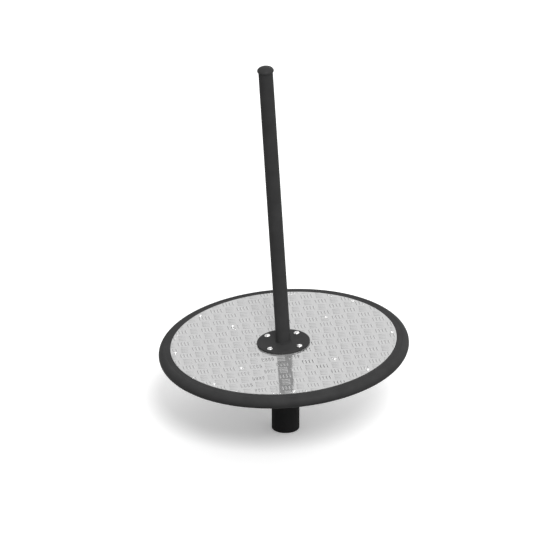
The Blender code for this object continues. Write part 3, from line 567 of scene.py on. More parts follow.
bolt_section = [(0.0, -BOLT_LENGTH), (M12_RADIUS - TIP_CHAMFER, -BOLT_LENGTH)]
bolt_section += thread(M12_RADIUS, -BOLT_LENGTH + TIP_CHAMFER, 1, M12_PITCH)
bolt_section += [
    (M12_RADIUS, 0.0),
    (HEX_HALF, 0.0, 6),
    (HEX_HALF, HEX_HEAD - HEAD_CHAMFER, 6),
    (HEX_HALF * HEAD_SKIRT, HEX_HEAD - SKIRT_DROP),
    (HEX_HALF * HEX_ROUND, HEX_HEAD),
    (0.0, HEX_HEAD),
]
bolt = turned(bolt_section, BOLT_FACETS, closed=False)
bolts = parts_on_ring("spindle_bolts", bolt, 4, HEAD_BOLT_RADIUS, SPINDLE_TOP + GAP, BOLT_TURN, zinc)
carried(bolts, "post", "zinc_steel", zinc, *[f"axle_bolt_{number}" for number in range(1, 5)])

nut_section = [
    (BOLT_HOLE, -NUT_HEIGHT),
    (HEX_HALF * HEX_ROUND, -NUT_HEIGHT),
    (HEX_HALF, -NUT_HEIGHT + NUT_CHAMFER, 6),
    (HEX_HALF, -NUT_CHAMFER, 6),
    (HEX_HALF * HEX_ROUND, 0.0),
    (BOLT_HOLE, 0.0),
]
nut = turned(nut_section, BOLT_FACETS)
nuts = parts_on_ring("spindle_nuts", nut, 4, HEAD_BOLT_RADIUS, HEAD_Z - GAP, BOLT_TURN, zinc)
carried(nuts, "post", "zinc_steel", zinc, *[f"axle_nut_{number}" for number in range(1, 5)])

# Bearings: two deep-groove ball bearings on the shaft with a sleeve between, held by a tab washer and a
# slotted nut. Ground bearing steel; all of it is shut inside the hub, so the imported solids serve.


def recoated(node, material):
    """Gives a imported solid, whose shape serves as it is, its finish."""
    frame["nodes"][node].data.materials.clear()
    frame["nodes"][node].data.materials.append(material)


for row in ("lower", "upper"):
    for part_of_bearing in ("inner_ring", "outer_ring", "ball_cage"):
        recoated(f"{row}_bearing_{part_of_bearing}", ground_steel)
for node in ("bearing_spacer", "lock_nut", "retaining_ring"):
    recoated(node, machined)
recoated("tab_washer", zinc)

# Dust seal: a moulded nitrile ring pressed in the hub's mouth, matt black and scuffed in patches.
# Its lip runs on the spindle's collar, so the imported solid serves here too.
rubber = powder_coat(
    "seal_rubber", (0.020, 0.020, 0.020), roughness=0.72, specular=0.3, depth=0.00003, grain=900.0, spread=0.8
)
recoated("dust_seal", rubber)

# Hub: a bored steel barrel under a 12 mm flange, both welded and coated black. The pole's bolts screw into
# the flange from above, through the plate.
HUB_Z = SPINDLE_TOP + 0.007
HUB_RADIUS = 0.051
HUB_BORE = 0.040
HUB_FLANGE_RADIUS = 0.110
HUB_FLANGE_BORE = 0.041
HUB_FLANGE_FACETS = 128
HUB_EDGE = 0.0008
FRAME_TOP = 0.1393
HUB_FLANGE_Z = FRAME_TOP - 0.012
HUB_TOP = HUB_FLANGE_Z - GAP
SHOULDER_Z = 0.0669
SHOULDER_TOP = 0.0943
SHOULDER_DEPTH = 0.0045
GROOVE_Z = COLLAR_TOP - 0.003
GROOVE_DEPTH = 0.002
FLANGE_BOLT_RADIUS = 0.0855
ARM_TURN = math.radians(50.4)
barrel_section = [
    (HUB_RADIUS, HUB_Z),
    (HUB_RADIUS, HUB_TOP),
    (HUB_BORE, HUB_TOP),
    (HUB_BORE, SHOULDER_TOP),
    (HUB_BORE - SHOULDER_DEPTH, SHOULDER_TOP),
    (HUB_BORE - SHOULDER_DEPTH, SHOULDER_Z),
    (HUB_BORE, SHOULDER_Z),
    (HUB_BORE, COLLAR_TOP),
    (HUB_BORE + GROOVE_DEPTH, COLLAR_TOP),
    (HUB_BORE + GROOVE_DEPTH, GROOVE_Z),
    (HUB_BORE, GROOVE_Z),
    (HUB_BORE, HUB_Z),
]
barrel = piece("hub_barrel", turned(softened(barrel_section, HUB_EDGE, 2), FACETS))
carried(barrel, "deck", "black_coat", black_coat, "hub_housing")
top_section = softened(flat_ring(HUB_FLANGE_BORE, HUB_FLANGE_RADIUS, HUB_FLANGE_Z, FRAME_TOP), HUB_EDGE)
hub_top = piece("hub_top_flange", turned(top_section, HUB_FLANGE_FACETS))
drilled(hub_top, ring_of(4, FLANGE_BOLT_RADIUS, ARM_TURN), BOLT_HOLE, HUB_FLANGE_Z, FRAME_TOP)
carried(hub_top, "deck", "black_coat", black_coat, "hub_flange")

# Rim: 48.3 mm steel tube rolled to a ring and butt welded, with four 8 mm drain holes underneath.
# Black powder coat, one with the frame's.
RIM_RADIUS = 0.491
RIM_TUBE = 0.02415
RIM_WALL = 0.003
RIM_Z = 0.11765
RIM_FACETS = 240
TUBE_FACETS = 40
BORE_FACETS = 16
DRAIN_RADIUS = 0.004
rim_section = ring_of(TUBE_FACETS, RIM_TUBE, middle=(RIM_RADIUS, RIM_Z))
bore_section = ring_of(BORE_FACETS, RIM_TUBE - RIM_WALL, middle=(RIM_RADIUS, RIM_Z))
rim = piece("rim_tube", turned(rim_section, RIM_FACETS), crease=60.0)
cut(rim, piece("rim_bore", turned(bore_section, RIM_FACETS // 2)))
drilled(rim, ring_of(4, RIM_RADIUS, ARM_TURN + math.pi / 4), DRAIN_RADIUS, RIM_Z - RIM_TUBE, RIM_Z)
carried(rim, "deck", "black_coat", black_coat, "rim_ring")

# Ledge: a 45 x 5 mm flat ring inside the rim, tapped for the plate's edge screws and stitch welded below.
# Steel, cut from sheet and coated with the rim.
LEDGE_OUTER = 0.4732
LEDGE_INNER = 0.4282
LEDGE_Z = FRAME_TOP - 0.005
LEDGE_EDGE = 0.0007
RIM_SCREW_RADIUS = 0.44745
SCREW_HOLE = 0.0045
ledge_section = softened(flat_ring(LEDGE_INNER, LEDGE_OUTER, LEDGE_Z, FRAME_TOP), LEDGE_EDGE, 2)
ledge = piece("deck_ledge", turned(ledge_section, RIM_FACETS))
drilled(ledge, ring_of(8, RIM_SCREW_RADIUS, ARM_TURN), SCREW_HOLE, LEDGE_Z, FRAME_TOP)
carried(ledge, "deck", "black_coat", black_coat, "rim_ledge")

# Arms: four lengths of 60 x 40 x 3 mm tube from hub to rim, coped round the barrel and the rim's tube and
# notched under flange and ledge, so that the plate lies flat on all three.
ARM_WIDTH = 0.060
ARM_HEIGHT = 0.040
ARM_WALL = 0.003
ARM_CORNER = 0.005
ARM_START = 0.03
ARM_END = 0.49
ARM_SCREW_RADIUS = 0.273
CORE_PAST = 0.01
COPE_Z = 0.06
COPE_TOP = 0.18
NOTCH_END = 0.6
CORNER_FLAT = 0.0015


def box_section(width, height, corner, steps):
    """Outline of a rectangular tube with round corners, as (across, up) points.

    A point is added on each flat next to a corner, so that the flats stay flat to the light.
    """
    points = []
    for across, up, start in ((1, 1, 0), (-1, 1, 90), (-1, -1, 180), (1, -1, 270)):
        middle = (across * (width / 2 - corner), up * (height / 2 - corner))
        bend = [math.radians(start + 90 * step / steps) for step in range(steps + 1)]
        curve = [off(middle, corner, angle) for angle in bend]
        points.append(off(curve[0], CORNER_FLAT, bend[0] - math.pi / 2))
        points += curve
        points.append(off(curve[-1], CORNER_FLAT, bend[-1] + math.pi / 2))
    return points


def bar(outline, start, end, height, turn):
    """Bar of that outline lying along a radius of the deck."""
    bm = bmesh.new()
    near = [bm.verts.new((start, y, height + z)) for y, z in outline]
    far = [bm.verts.new((end, y, height + z)) for y, z in outline]
    bm.faces.new(near)
    bm.faces.new(far[::-1])
    for index in range(len(outline)):
        following = (index + 1) % len(outline)
        bm.faces.new((near[index], far[index], far[following], near[following]))
    bmesh.ops.recalc_face_normals(bm, faces=bm.faces)
    bmesh.ops.rotate(bm, verts=bm.verts, cent=(0, 0, 0), matrix=Matrix.Rotation(turn, 3, "Z"))
    return bm


arm_middle = FRAME_TOP - ARM_HEIGHT / 2
arm_outline = box_section(ARM_WIDTH, ARM_HEIGHT, ARM_CORNER, 6)
arm_inside = box_section(ARM_WIDTH - 2 * ARM_WALL, ARM_HEIGHT - 2 * ARM_WALL, ARM_CORNER - ARM_WALL, 3)
hub_cope = [
    (0.0, COPE_Z),
    (HUB_RADIUS + GAP, COPE_Z),
    (HUB_RADIUS + GAP, HUB_TOP),
    (HUB_FLANGE_RADIUS + GAP, HUB_TOP),
    (HUB_FLANGE_RADIUS + GAP, COPE_TOP),
    (0.0, COPE_TOP),
]
rim_cope = ring_of(TUBE_FACETS, RIM_TUBE + GAP, middle=(RIM_RADIUS, RIM_Z))
ledge_notch = flat_ring(LEDGE_INNER - GAP, NOTCH_END, LEDGE_Z - GAP, COPE_TOP)
for number in range(4):
    turn = ARM_TURN + number * math.pi / 2
    arm = piece(f"deck_arm_{number + 1}", bar(arm_outline, ARM_START, ARM_END, arm_middle, turn))
    cut(arm, piece("arm_core", bar(arm_inside, ARM_START - CORE_PAST, ARM_END + CORE_PAST, arm_middle, turn)))
    cut(arm, piece("arm_hub_cope", turned(hub_cope, FACETS, closed=False)))
    cut(arm, piece("arm_rim_cope", turned(rim_cope, RIM_FACETS)))
    cut(arm, piece("arm_ledge_notch", turned(ledge_notch, RIM_FACETS)))
    drilled(arm, ring_of(1, ARM_SCREW_RADIUS, turn), SCREW_HOLE, FRAME_TOP - ARM_WALL, FRAME_TOP)
    carried(arm, "deck", "black_coat", black_coat, f"frame_arm_{number + 1}")

# Deck welds: the hub's flange to its barrel, each arm to barrel and rim on its sides and underside, and
# short stitches between ledge and rim. The beads' middles lie just off the faces that they join.
DECK_BEAD = 0.0030
BEAD_OFF = 0.0004
RING_BEAD_OFF = 0.0006
HUB_SEAM = HUB_RADIUS + RING_BEAD_OFF
HUB_CORNER = HUB_RADIUS + 0.0005
ARM_SIDE = ARM_WIDTH / 2 + BEAD_OFF
ARM_BELOW = FRAME_TOP - ARM_HEIGHT - BEAD_OFF
BELOW_STEPS = 24
CORNER_Z = 0.1025
CORNER_RUN = 0.0225
CORNER_STEPS = 8
SIDE_LOW = -0.0148
SIDE_RUN = 0.0298
SIDE_STEPS = 12
HUB_SHORT = 4.0
RIM_SHORT = 0.6
STITCHES = 16
STITCH = 4.4
STITCH_REACH = LEDGE_OUTER + 0.0002
STITCH_STEPS = 14


def rim_reach(height):
    """How far out a bead on the rim tube's inner side lies, at that height above the tube's middle."""
    return RIM_RADIUS - math.sqrt(RIM_TUBE**2 - height**2) - BEAD_OFF


under_reach = rim_reach(FRAME_TOP - ARM_HEIGHT - RIM_Z)
half_hub = math.degrees(math.asin(ARM_WIDTH / 2 / HUB_RADIUS)) - HUB_SHORT
half_rim = math.degrees(math.asin(ARM_WIDTH / 2 / under_reach)) - RIM_SHORT
deck_runs = [round_path(HUB_SEAM, HUB_TOP - RING_BEAD_OFF)]
for number in range(4):
    turn = math.degrees(ARM_TURN) + 90 * number
    c, s = math.cos(math.radians(turn)), math.sin(math.radians(turn))
    deck_runs.append(round_path(HUB_SEAM, ARM_BELOW, BELOW_STEPS, turn - half_hub, 2 * half_hub))
    for side in (-1, 1):
        corner = off((0.0, 0.0), HUB_CORNER, math.radians(turn) + side * math.asin(ARM_SIDE / HUB_CORNER))
        levels = [CORNER_Z + CORNER_RUN * step / CORNER_STEPS for step in range(CORNER_STEPS + 1)]
        deck_runs.append([(*corner, level) for level in levels])
        run = []
        for step in range(SIDE_STEPS + 1):
            height = SIDE_LOW + SIDE_RUN * step / SIDE_STEPS
            across = side * ARM_SIDE
            along = math.sqrt(rim_reach(height) ** 2 - across**2)
            run.append((along * c - across * s, along * s + across * c, RIM_Z + height))
        deck_runs.append(run)
    deck_runs.append(round_path(under_reach, ARM_BELOW, BELOW_STEPS, turn - half_rim, 2 * half_rim))
for number in range(STITCHES):
    turn = math.degrees(ARM_TURN) + 360 / STITCHES * (number + 0.5)
    stitch = round_path(STITCH_REACH, LEDGE_Z - BEAD_OFF, STITCH_STEPS, turn - STITCH / 2, STITCH)
    deck_runs.append(stitch)
carried(beads("deck_welds", deck_runs, DECK_BEAD, black_coat), "deck", "black_coat", black_coat)

# Rim fillet: the joint of ledge and rim is filled with weld all round and dressed to run on into the tube's
# crown, so that the coat covers one smooth band outside the plate's edge.
FILLET_INNER = 0.4663
FILLET_TOP = 0.1423
FILLET_EDGE = 0.0008
fillet_section = [
    (FILLET_INNER, FRAME_TOP + 0.0002),
    (LEDGE_OUTER - 0.0004, FRAME_TOP + 0.0002),
    (LEDGE_OUTER + 0.0004, FRAME_TOP - 0.0040),
    (RIM_RADIUS - 0.0095, FRAME_TOP - 0.0005),
    (RIM_RADIUS - 0.0042, RIM_Z + 0.0238),
    (RIM_RADIUS - 0.0120, FILLET_TOP - 0.0002),
    (FILLET_INNER, FILLET_TOP),
]
fillet = piece("rim_fillet", turned(softened(fillet_section, FILLET_EDGE, 2), RIM_FACETS))
carried(fillet, "deck", "black_coat", black_coat)

# Tread plate: 4 mm bright rolled aluminium, cut round, lying on ledge, arms and hub flange. Raised bars stand
# in groups of four, each group square to its neighbours. They stop short at the pole's flange and at the
# screws, as if milled off there.
PLATE_RADIUS = 0.46545
PLATE_BORE = 0.041
PLATE_Z = FRAME_TOP + GAP
DECK_Z = PLATE_Z + 0.004
PLATE_EDGE = 0.0005
CELL = 0.0541
CELL_TURN = math.radians(5.8)
CELLS_OUT = 11
FIRST_GROUP = (-0.0276, 0.0202)
BAR_TURN = CELL_TURN + math.radians(94.7)
BAR_PITCH = 0.0135
BAR_HALF_LENGTH = 0.0172
BAR_WIDTH = 0.0072
BAR_HEIGHT = 0.0014
BAR_SUNK = 0.0002
CROWN_SHARE = 0.30
BAR_STATIONS = (-1.0, -0.97, -0.90, -0.75, 0.0, 0.75, 0.90, 0.97, 1.0)
TIP_HALF_WIDTH = 0.0003
TIP_HEIGHT = 0.00005
SIDE_SQUARENESS = 22
CROWN_SQUARENESS = 14
SHORTEST_BAR = 0.007
EDGE_CLEAR = 0.0012
FLANGE_CLEAR = 0.1105
SCREW_CLEAR = 0.0122
screw_spots = ring_of(8, RIM_SCREW_RADIUS, ARM_TURN) + ring_of(4, ARM_SCREW_RADIUS, ARM_TURN)
cleared = [(0.0, 0.0, FLANGE_CLEAR)] + [(x, y, SCREW_CLEAR) for x, y in screw_spots]


def kept_length(x, y, angle):
    """The part of a bar that lies on the plate, clear of the pole's flange and of the screws, as two ends."""
    dx, dy = math.cos(angle), math.sin(angle)
    ahead = -(x * dx + y * dy)
    outer = (PLATE_RADIUS - EDGE_CLEAR) ** 2 - (x * x + y * y - ahead * ahead)
    if outer <= 0:
        return None
    low = max(-BAR_HALF_LENGTH, ahead - math.sqrt(outer))
    high = min(BAR_HALF_LENGTH, ahead + math.sqrt(outer))
    for cx, cy, radius in cleared:
        ahead = (cx - x) * dx + (cy - y) * dy
        inner = radius**2 - ((cx - x) ** 2 + (cy - y) ** 2 - ahead**2)
        if inner <= 0:
            continue
        first, last = ahead - math.sqrt(inner), ahead + math.sqrt(inner)
        if first < high and last > low:
            if first - low > high - last:
                high = first
            else:
                low = last
    return (low, high) if high - low > SHORTEST_BAR else None


bar_spots = bmesh.new()
reach_layer = bar_spots.verts.layers.float.new("reach")
turn_layer = bar_spots.verts.layers.float.new("turn")
c, s = math.cos(CELL_TURN) * CELL, math.sin(CELL_TURN) * CELL
for across in range(-CELLS_OUT, CELLS_OUT + 1):
    for up in range(-CELLS_OUT, CELLS_OUT + 1):
        middle = (FIRST_GROUP[0] + across * c - up * s, FIRST_GROUP[1] + across * s + up * c)
        even_group = (across + up) % 2 == 0
        angle = BAR_TURN if even_group else 2 * CELL_TURN + math.pi / 2 - BAR_TURN
        spread = CELL_TURN if even_group else CELL_TURN + math.pi / 2
        for rank in (-1.5, -0.5, 0.5, 1.5):
            x, y = off(middle, rank * BAR_PITCH, spread)
            ends = kept_length(x, y, angle)
            if ends is None:
                continue
            spot = bar_spots.verts.new((*off((x, y), (ends[0] + ends[1]) / 2, angle), DECK_Z))
            spot[reach_layer] = (ends[1] - ends[0]) / 2
            spot[turn_layer] = angle


def tread_bar():
    """One raised bar of half length one, to be scaled: round-ended, its flanks sloping to a flat crown."""
    bm = bmesh.new()
    flank_layer = bm.verts.layers.float.new("flank")
    rows = []
    for along in BAR_STATIONS:
        half = BAR_WIDTH / 2 * (1 - abs(along) ** SIDE_SQUARENESS) + TIP_HALF_WIDTH
        crown = BAR_HEIGHT * (1 - abs(along) ** CROWN_SQUARENESS) + TIP_HEIGHT
        row = []
        for side, height, flank in (
            (-1, -BAR_SUNK, 1.0),
            (-CROWN_SHARE, crown, 0.0),
            (CROWN_SHARE, crown, 0.0),
            (1, -BAR_SUNK, 1.0),
        ):
            vertex = bm.verts.new((along, side * half, height))
            vertex[flank_layer] = flank
            row.append(vertex)
        rows.append(row)
    for near, far in zip(rows, rows[1:]):
        for index in range(4):
            following = (index + 1) % 4
            bm.faces.new((near[index], far[index], far[following], near[following]))
    bm.faces.new(rows[0])
    bm.faces.new(rows[-1][::-1])
    bmesh.ops.recalc_face_normals(bm, faces=bm.faces)
    return bm


bar_tree, took, gave = growing_tree(
    "tread_bars", [("Bar", "Object"), ("Plate", "Object"), ("Coat", "Material")]
)
reach = add(bar_tree, "GeometryNodeInputNamedAttribute", {"data_type": "FLOAT"}, Name="reach")
angle = add(bar_tree, "GeometryNodeInputNamedAttribute", {"data_type": "FLOAT"}, Name="turn")
facing = add(bar_tree, "ShaderNodeCombineXYZ", Z=angle.outputs["Attribute"])
size = add(bar_tree, "ShaderNodeCombineXYZ", X=reach.outputs["Attribute"], Y=1.0, Z=1.0)
one_bar = add(bar_tree, "GeometryNodeObjectInfo", Object=took.outputs["Bar"])
plain_disc = add(bar_tree, "GeometryNodeObjectInfo", Object=took.outputs["Plate"])
rows = add(
    bar_tree,
    "GeometryNodeInstanceOnPoints",
    Points=took.outputs["Geometry"],
    Instance=one_bar.outputs["Geometry"],
    Rotation=facing.outputs[0],
    Scale=size.outputs[0],
)
together = add(bar_tree, "GeometryNodeJoinGeometry", Geometry=plain_disc.outputs["Geometry"])
joined(together.inputs[0], rows.outputs[0])
made_real(bar_tree, took, gave, together.outputs[0])


def grey(level):
    """A neutral colour of that brightness."""
    return (level, level, level, 1.0)


# The plate's own colour and gloss vary with the rolling streaks and a faint cloudiness. The bars' flanks get
# a darker grey as painted shade, and are a little duller and mirror more, so that they read as thin strokes.
aluminium, tree, shader = blank("tread_aluminium")
where = add(tree, "ShaderNodeTexCoord").outputs["Object"]
rolled = add(tree, "ShaderNodeMapping", Vector=where, Rotation=(0.0, 0.0, -CELL_TURN), Scale=(1.0, 0.06, 1.0))
streak = add(tree, "ShaderNodeTexNoise", Vector=rolled.outputs[0], Scale=420.0, Detail=3.0, Roughness=0.6)
cloud = add(tree, "ShaderNodeTexNoise", Vector=where, Scale=9.0, Detail=3.0)
flank = add(tree, "ShaderNodeAttribute", {"attribute_name": "flank"}).outputs["Fac"]
flank_shade_mask = ranged(tree, flank, 0.05, 0.4)
tone = ranged(tree, streak.outputs["Fac"], 0.3, 0.7, 0.57, 0.61)
flat = add(tree, "ShaderNodeCombineColor", Red=tone, Green=tone, Blue=tone)
gloss = ranged(tree, cloud.outputs["Fac"], 0.3, 0.7, 0.05, 0.08)
joined(shader.inputs["Metallic"], ranged(tree, flank, 0.05, 0.4, 0.60, 0.92))
# Painted shade: the flanks' darker grey stands in for the shade on the bars' sloping sides.
joined(shader.inputs["Base Color"], mixed(tree, flank_shade_mask, flat.outputs[0], grey(0.50)))
joined(shader.inputs["Roughness"], maths(tree, "MULTIPLY_ADD", flank_shade_mask, 0.10, gloss))
embossed(tree, shader, streak.outputs["Fac"], 0.000004)

disc_section = softened(flat_ring(PLATE_BORE, PLATE_RADIUS, PLATE_Z, DECK_Z), PLATE_EDGE, 2)
disc = piece("plate_disc", turned(disc_section, RIM_FACETS), unleaned)
one = piece("one_bar", tread_bar(), unleaned, crease=20.0)
deck = piece("deck_plate", bar_spots, unleaned)
drilled(disc, screw_spots, SCREW_HOLE, PLATE_Z, DECK_Z, unleaned)
drilled(disc, ring_of(4, FLANGE_BOLT_RADIUS, ARM_TURN), BOLT_HOLE, PLATE_Z, DECK_Z, unleaned)
grown(deck, bar_tree, Bar=one, Plate=disc, Coat=aluminium)
deck.data.transform(leaned)
for spare in (one, disc):
    bpy.data.objects.remove(spare, do_unlink=True)
carried(deck, "deck", "tread_aluminium", aluminium, "tread_plate")

# Plate screws: M8 stainless button heads with a hexagon socket, eight into the ledge and four into the arms.
# Bright and lightly brushed; their threaded tips show below the ledge.
HEAD_BEVEL = 0.0004
DOME_START = 0.18
DOME_END = 1.35
SOCKET_FLARE = 1.12
SOCKET_POINT = 0.0006
SCREW_TIP = 0.0008
THREAD_TURNS = 5


def button_head(radius, height, socket, depth, length, shank, pitch):
    """Low domed head with a hexagon socket on a shank whose tip is threaded; the seat is at height zero."""
    section = [(0.0, -length), (shank - SCREW_TIP, -length)]
    section += thread(shank, -length + SCREW_TIP, THREAD_TURNS, pitch)
    section += [(shank, 0.0), (radius - HEAD_BEVEL, 0.0), (radius, HEAD_BEVEL)]
    edge = height * DOME_START
    dome = math.acos(socket / radius * DOME_END)
    for step in range(7):
        angle = dome * step / 6
        section.append((radius * math.cos(angle), edge + (height - edge) * math.sin(angle) / math.sin(dome)))
    section += [
        (socket * SOCKET_FLARE, height),
        (socket, height - HEAD_BEVEL, 6),
        (socket, height - depth, 6),
        (0.0, height - depth - SOCKET_POINT),
    ]
    return turned(section, BOLT_FACETS, closed=False)


for name, count, radius, node in (
    ("plate_edge_screws", 8, RIM_SCREW_RADIUS, "rim_screw"),
    ("plate_arm_screws", 4, ARM_SCREW_RADIUS, "arm_screw"),
):
    screw = button_head(
        radius=0.0075, height=0.0037, socket=0.0025, depth=0.0014, length=0.016, shank=0.004, pitch=0.00125
    )
    screws = parts_on_ring(name, screw, count, radius, DECK_Z + GAP, ARM_TURN, stainless)
    carried(screws, "deck", "stainless", stainless, *[f"{node}_{number}" for number in range(1, count + 1)])

# Pole foot: an 8 mm round flange on the plate, drilled for four bolts and welded round the pole.
# Steel, coated black with the pole.
POLE_RADIUS = 0.03015
FOOT_RADIUS = 0.109
FOOT_BORE = 0.020
FOOT_Z = DECK_Z + GAP
FOOT_TOP = FOOT_Z + 0.008
FOOT_EDGE = 0.0012
FOOT_FACETS = 160
FOOT_BEAD = 0.0022
foot_section = softened(flat_ring(FOOT_BORE, FOOT_RADIUS, FOOT_Z, FOOT_TOP), FOOT_EDGE)
foot = piece("pole_foot_flange", turned(foot_section, FOOT_FACETS))
drilled(foot, ring_of(4, FLANGE_BOLT_RADIUS, ARM_TURN), BOLT_HOLE, FOOT_Z, FOOT_TOP)
carried(foot, "deck", "black_coat", black_coat, "pole_flange")
foot_seam = round_path(POLE_RADIUS + RING_BEAD_OFF, FOOT_TOP + RING_BEAD_OFF)
carried(beads("pole_foot_weld", [foot_seam], FOOT_BEAD, black_coat), "deck", "black_coat", black_coat)

# Flange bolts: four M12 stainless button heads with 8 mm hexagon sockets, through flange and plate into the
# hub's flange. They hold pole and plate down together.
bolt = button_head(
    radius=0.012, height=0.0052, socket=0.004, depth=0.0018, length=0.0244, shank=M12_RADIUS, pitch=M12_PITCH
)
bolts = parts_on_ring("pole_foot_bolts", bolt, 4, FLANGE_BOLT_RADIUS, FOOT_TOP + GAP, ARM_TURN, stainless)
carried(bolts, "deck", "stainless", stainless, *[f"flange_bolt_{number}" for number in range(1, 5)])

# Pole: 60.3 mm steel tube with a 2.9 mm wall, square cut at both ends and coated black with the flange.
# It stands on the flange, inside the ring of weld.
POLE_WALL = 0.0029
POLE_Z = FOOT_TOP + GAP
POLE_TOP = 1.3816
POLE_LENGTHS = 12
levels = [POLE_Z + (POLE_TOP - POLE_Z) * number / POLE_LENGTHS for number in range(POLE_LENGTHS + 1)]
pole_section = [(POLE_RADIUS, level) for level in levels]
pole_section += [(POLE_RADIUS - POLE_WALL, level) for level in levels[::-1]]
carried(piece("pole_tube", turned(pole_section, FACETS)), "deck", "black_coat", black_coat, "pole")

# Pole cap: moulded black plastic, a shallow dome with a thick lip over the tube's end and a ribbed plug
# below. Pushed in by hand and held by the ribs.
CAP_Z = POLE_TOP + GAP
CAP_RADIUS = 0.0345
CAP_ROUND = 0.0036
CAP_LIP = 0.005
CAP_DOME = 0.0168
PLUG_BORE = 0.02305
PLUG_RADIUS = 0.02555
PLUG_DEPTH = 0.026
RIB_RADIUS = 0.0269
RIB_PITCH = 0.0055
LOWEST_RIB = 0.023
RIB_CREST = 0.0022
RIB_HEIGHT = 0.0030
ROUND_STEPS = 6
DOME_STEPS = 18
cap_plastic = powder_coat(
    "cap_plastic", (0.040, 0.040, 0.0404),
    roughness=0.42, specular=0.06, depth=0.00003, grain=1200.0, spread=0.3,
)
cap_section = [
    (0.0, CAP_Z),
    (PLUG_BORE, CAP_Z),
    (PLUG_BORE, CAP_Z - PLUG_DEPTH),
    (PLUG_RADIUS, CAP_Z - PLUG_DEPTH),
]
for rib in range(4):
    level = CAP_Z - LOWEST_RIB + RIB_PITCH * rib
    cap_section += [(PLUG_RADIUS, level), (RIB_RADIUS, level + RIB_CREST), (PLUG_RADIUS, level + RIB_HEIGHT)]
cap_section += [(PLUG_RADIUS, CAP_Z), (CAP_RADIUS - CAP_ROUND, CAP_Z)]
rounding = (CAP_RADIUS - CAP_ROUND, CAP_Z + CAP_ROUND)
for step in range(1, ROUND_STEPS + 1):
    cap_section.append(off(rounding, CAP_ROUND, math.pi / 2 * (step / ROUND_STEPS - 1)))
for step in range(DOME_STEPS):
    angle = math.pi / 2 * step / DOME_STEPS
    cap_section.append((CAP_RADIUS * math.cos(angle), CAP_Z + CAP_LIP + CAP_DOME * math.sin(angle)))
cap_section.append((0.0, CAP_Z + CAP_LIP + CAP_DOME))
cap = piece("pole_end_cap", turned(cap_section, FACETS, closed=False), crease=40.0)
carried(cap, "deck", "cap_plastic", cap_plastic, "pole_cap")

# Studio: white floor and sky, a soft sun behind the camera, and a long lens at the photograph's angle. The
# sky lights the object more from the right, and what metal mirrors of it has a darker screen on the left
# and a brighter one on the right. The floor keeps the object's shadow.
scene = bpy.context.scene
scene.view_settings.view_transform = "Standard"
FLOOR_REACH = 120.0
FLOOR_Z = -0.0004
FLOOR_TO_LIGHT = 0.16
FLOOR_IN_METAL = 0.68
FLOOR_GLOW = 0.19
SKY_LEFT = 0.40
SKY_RIGHT = 1.20
bm = bmesh.new()
bmesh.ops.create_grid(bm, x_segments=1, y_segments=1, size=FLOOR_REACH)
floor = piece("studio_floor", bm, Matrix.Translation((0.0, 0.0, FLOOR_Z)))
floor_paint, tree, _ = blank("studio_floor")
tree.nodes.clear()
rays = add(tree, "ShaderNodeLightPath").outputs
in_metal = maths(tree, "MAXIMUM", rays["Is Glossy Ray"], rays["Is Transmission Ray"])
seen = maths(tree, "MAXIMUM", rays["Is Camera Ray"], in_metal)
paint = mixed(tree, seen, grey(FLOOR_TO_LIGHT), grey(FLOOR_IN_METAL))
paint = mixed(tree, rays["Is Camera Ray"], paint, grey(1.0))
matt = add(tree, "ShaderNodeBsdfDiffuse", Color=paint)
glow = add(tree, "ShaderNodeEmission", Color=grey(1.0), Strength=maths(tree, "MULTIPLY", seen, FLOOR_GLOW))
both = add(tree, "ShaderNodeAddShader")
joined(both.inputs[0], matt.outputs[0])
joined(both.inputs[1], glow.outputs[0])
add(tree, "ShaderNodeOutputMaterial", Surface=both.outputs[0])
floor.data.materials.append(floor_paint)

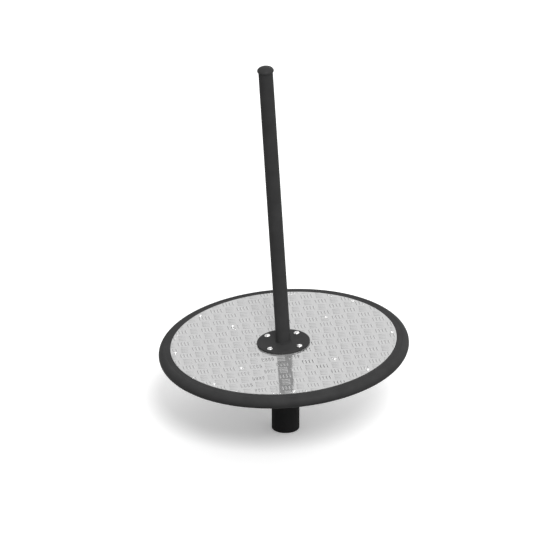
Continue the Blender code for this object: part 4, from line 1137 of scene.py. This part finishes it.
world = bpy.data.worlds.new("studio_sky")
scene.world = world
world.use_nodes = True
tree = world.node_tree
rays = add(tree, "ShaderNodeLightPath").outputs
way = add(tree, "ShaderNodeTexCoord")
side = add(tree, "ShaderNodeSeparateXYZ", Vector=way.outputs["Generated"]).outputs["X"]
screens = add(tree, "ShaderNodeValToRGB", Fac=ranged(tree, side, -1.0, 1.0))
stops = screens.color_ramp.elements
for place, brightness in ((-0.70, 0.95), (-0.38, 0.36), (-0.053, 0.95), (0.32, 1.20), (0.70, 1.0)):
    stops.new((place + 1) / 2).color = grey(brightness / 2)
for outermost in (stops[0], stops[len(stops) - 1]):
    outermost.color = grey(0.5)
mirrored = maths(tree, "MULTIPLY", screens.outputs[0], 2.0)
in_metal = maths(tree, "MAXIMUM", rays["Is Glossy Ray"], rays["Is Transmission Ray"])
slope = ranged(tree, side, -1.0, 1.0, SKY_LEFT, SKY_RIGHT)
level = mixed(tree, in_metal, slope, mirrored, "FLOAT")
level = mixed(tree, rays["Is Camera Ray"], level, 1.0, "FLOAT")
sky = tree.nodes["Background"]
sky.inputs["Color"].default_value = grey(1.0)
joined(sky.inputs["Strength"], level)

key_data = bpy.data.lights.new("key", "SUN")
key_data.angle = math.radians(18.0)
key_data.energy = 1.75
key = bpy.data.objects.new("key", key_data)
bpy.context.collection.objects.link(key)
key.rotation_euler = Vector((-0.12, 0.70, -0.70)).to_track_quat("-Z", "Y").to_euler()

PHOTO_SIZE = 550
FOCAL_PIXELS = 19700.0
PIXELS_PER_METRE = 243.6
ELEVATION = math.radians(26.47)
KNOWN_POINT = Vector((0.0, 0.0, 0.354))
KNOWN_PIXEL = (285.56, 349.97)
cam_data = bpy.data.cameras.new("camera")
cam_data.sensor_width = 36.0
cam_data.lens = FOCAL_PIXELS / PHOTO_SIZE * cam_data.sensor_width
cam_data.clip_start = 1.0
cam_data.clip_end = 400.0
camera = bpy.data.objects.new("camera", cam_data)
bpy.context.collection.objects.link(camera)
back = Vector((0.0, -math.cos(ELEVATION), math.sin(ELEVATION)))
up = Vector((0.0, math.sin(ELEVATION), math.cos(ELEVATION)))
right_of_middle = (KNOWN_PIXEL[0] - PHOTO_SIZE / 2) / PIXELS_PER_METRE
below_middle = (KNOWN_PIXEL[1] - PHOTO_SIZE / 2) / PIXELS_PER_METRE
aim = KNOWN_POINT - Vector((1.0, 0.0, 0.0)) * right_of_middle + up * below_middle
camera.location = aim + back * FOCAL_PIXELS / PIXELS_PER_METRE
camera.rotation_euler = (-back).to_track_quat("-Z", "Y").to_euler()
scene.camera = camera
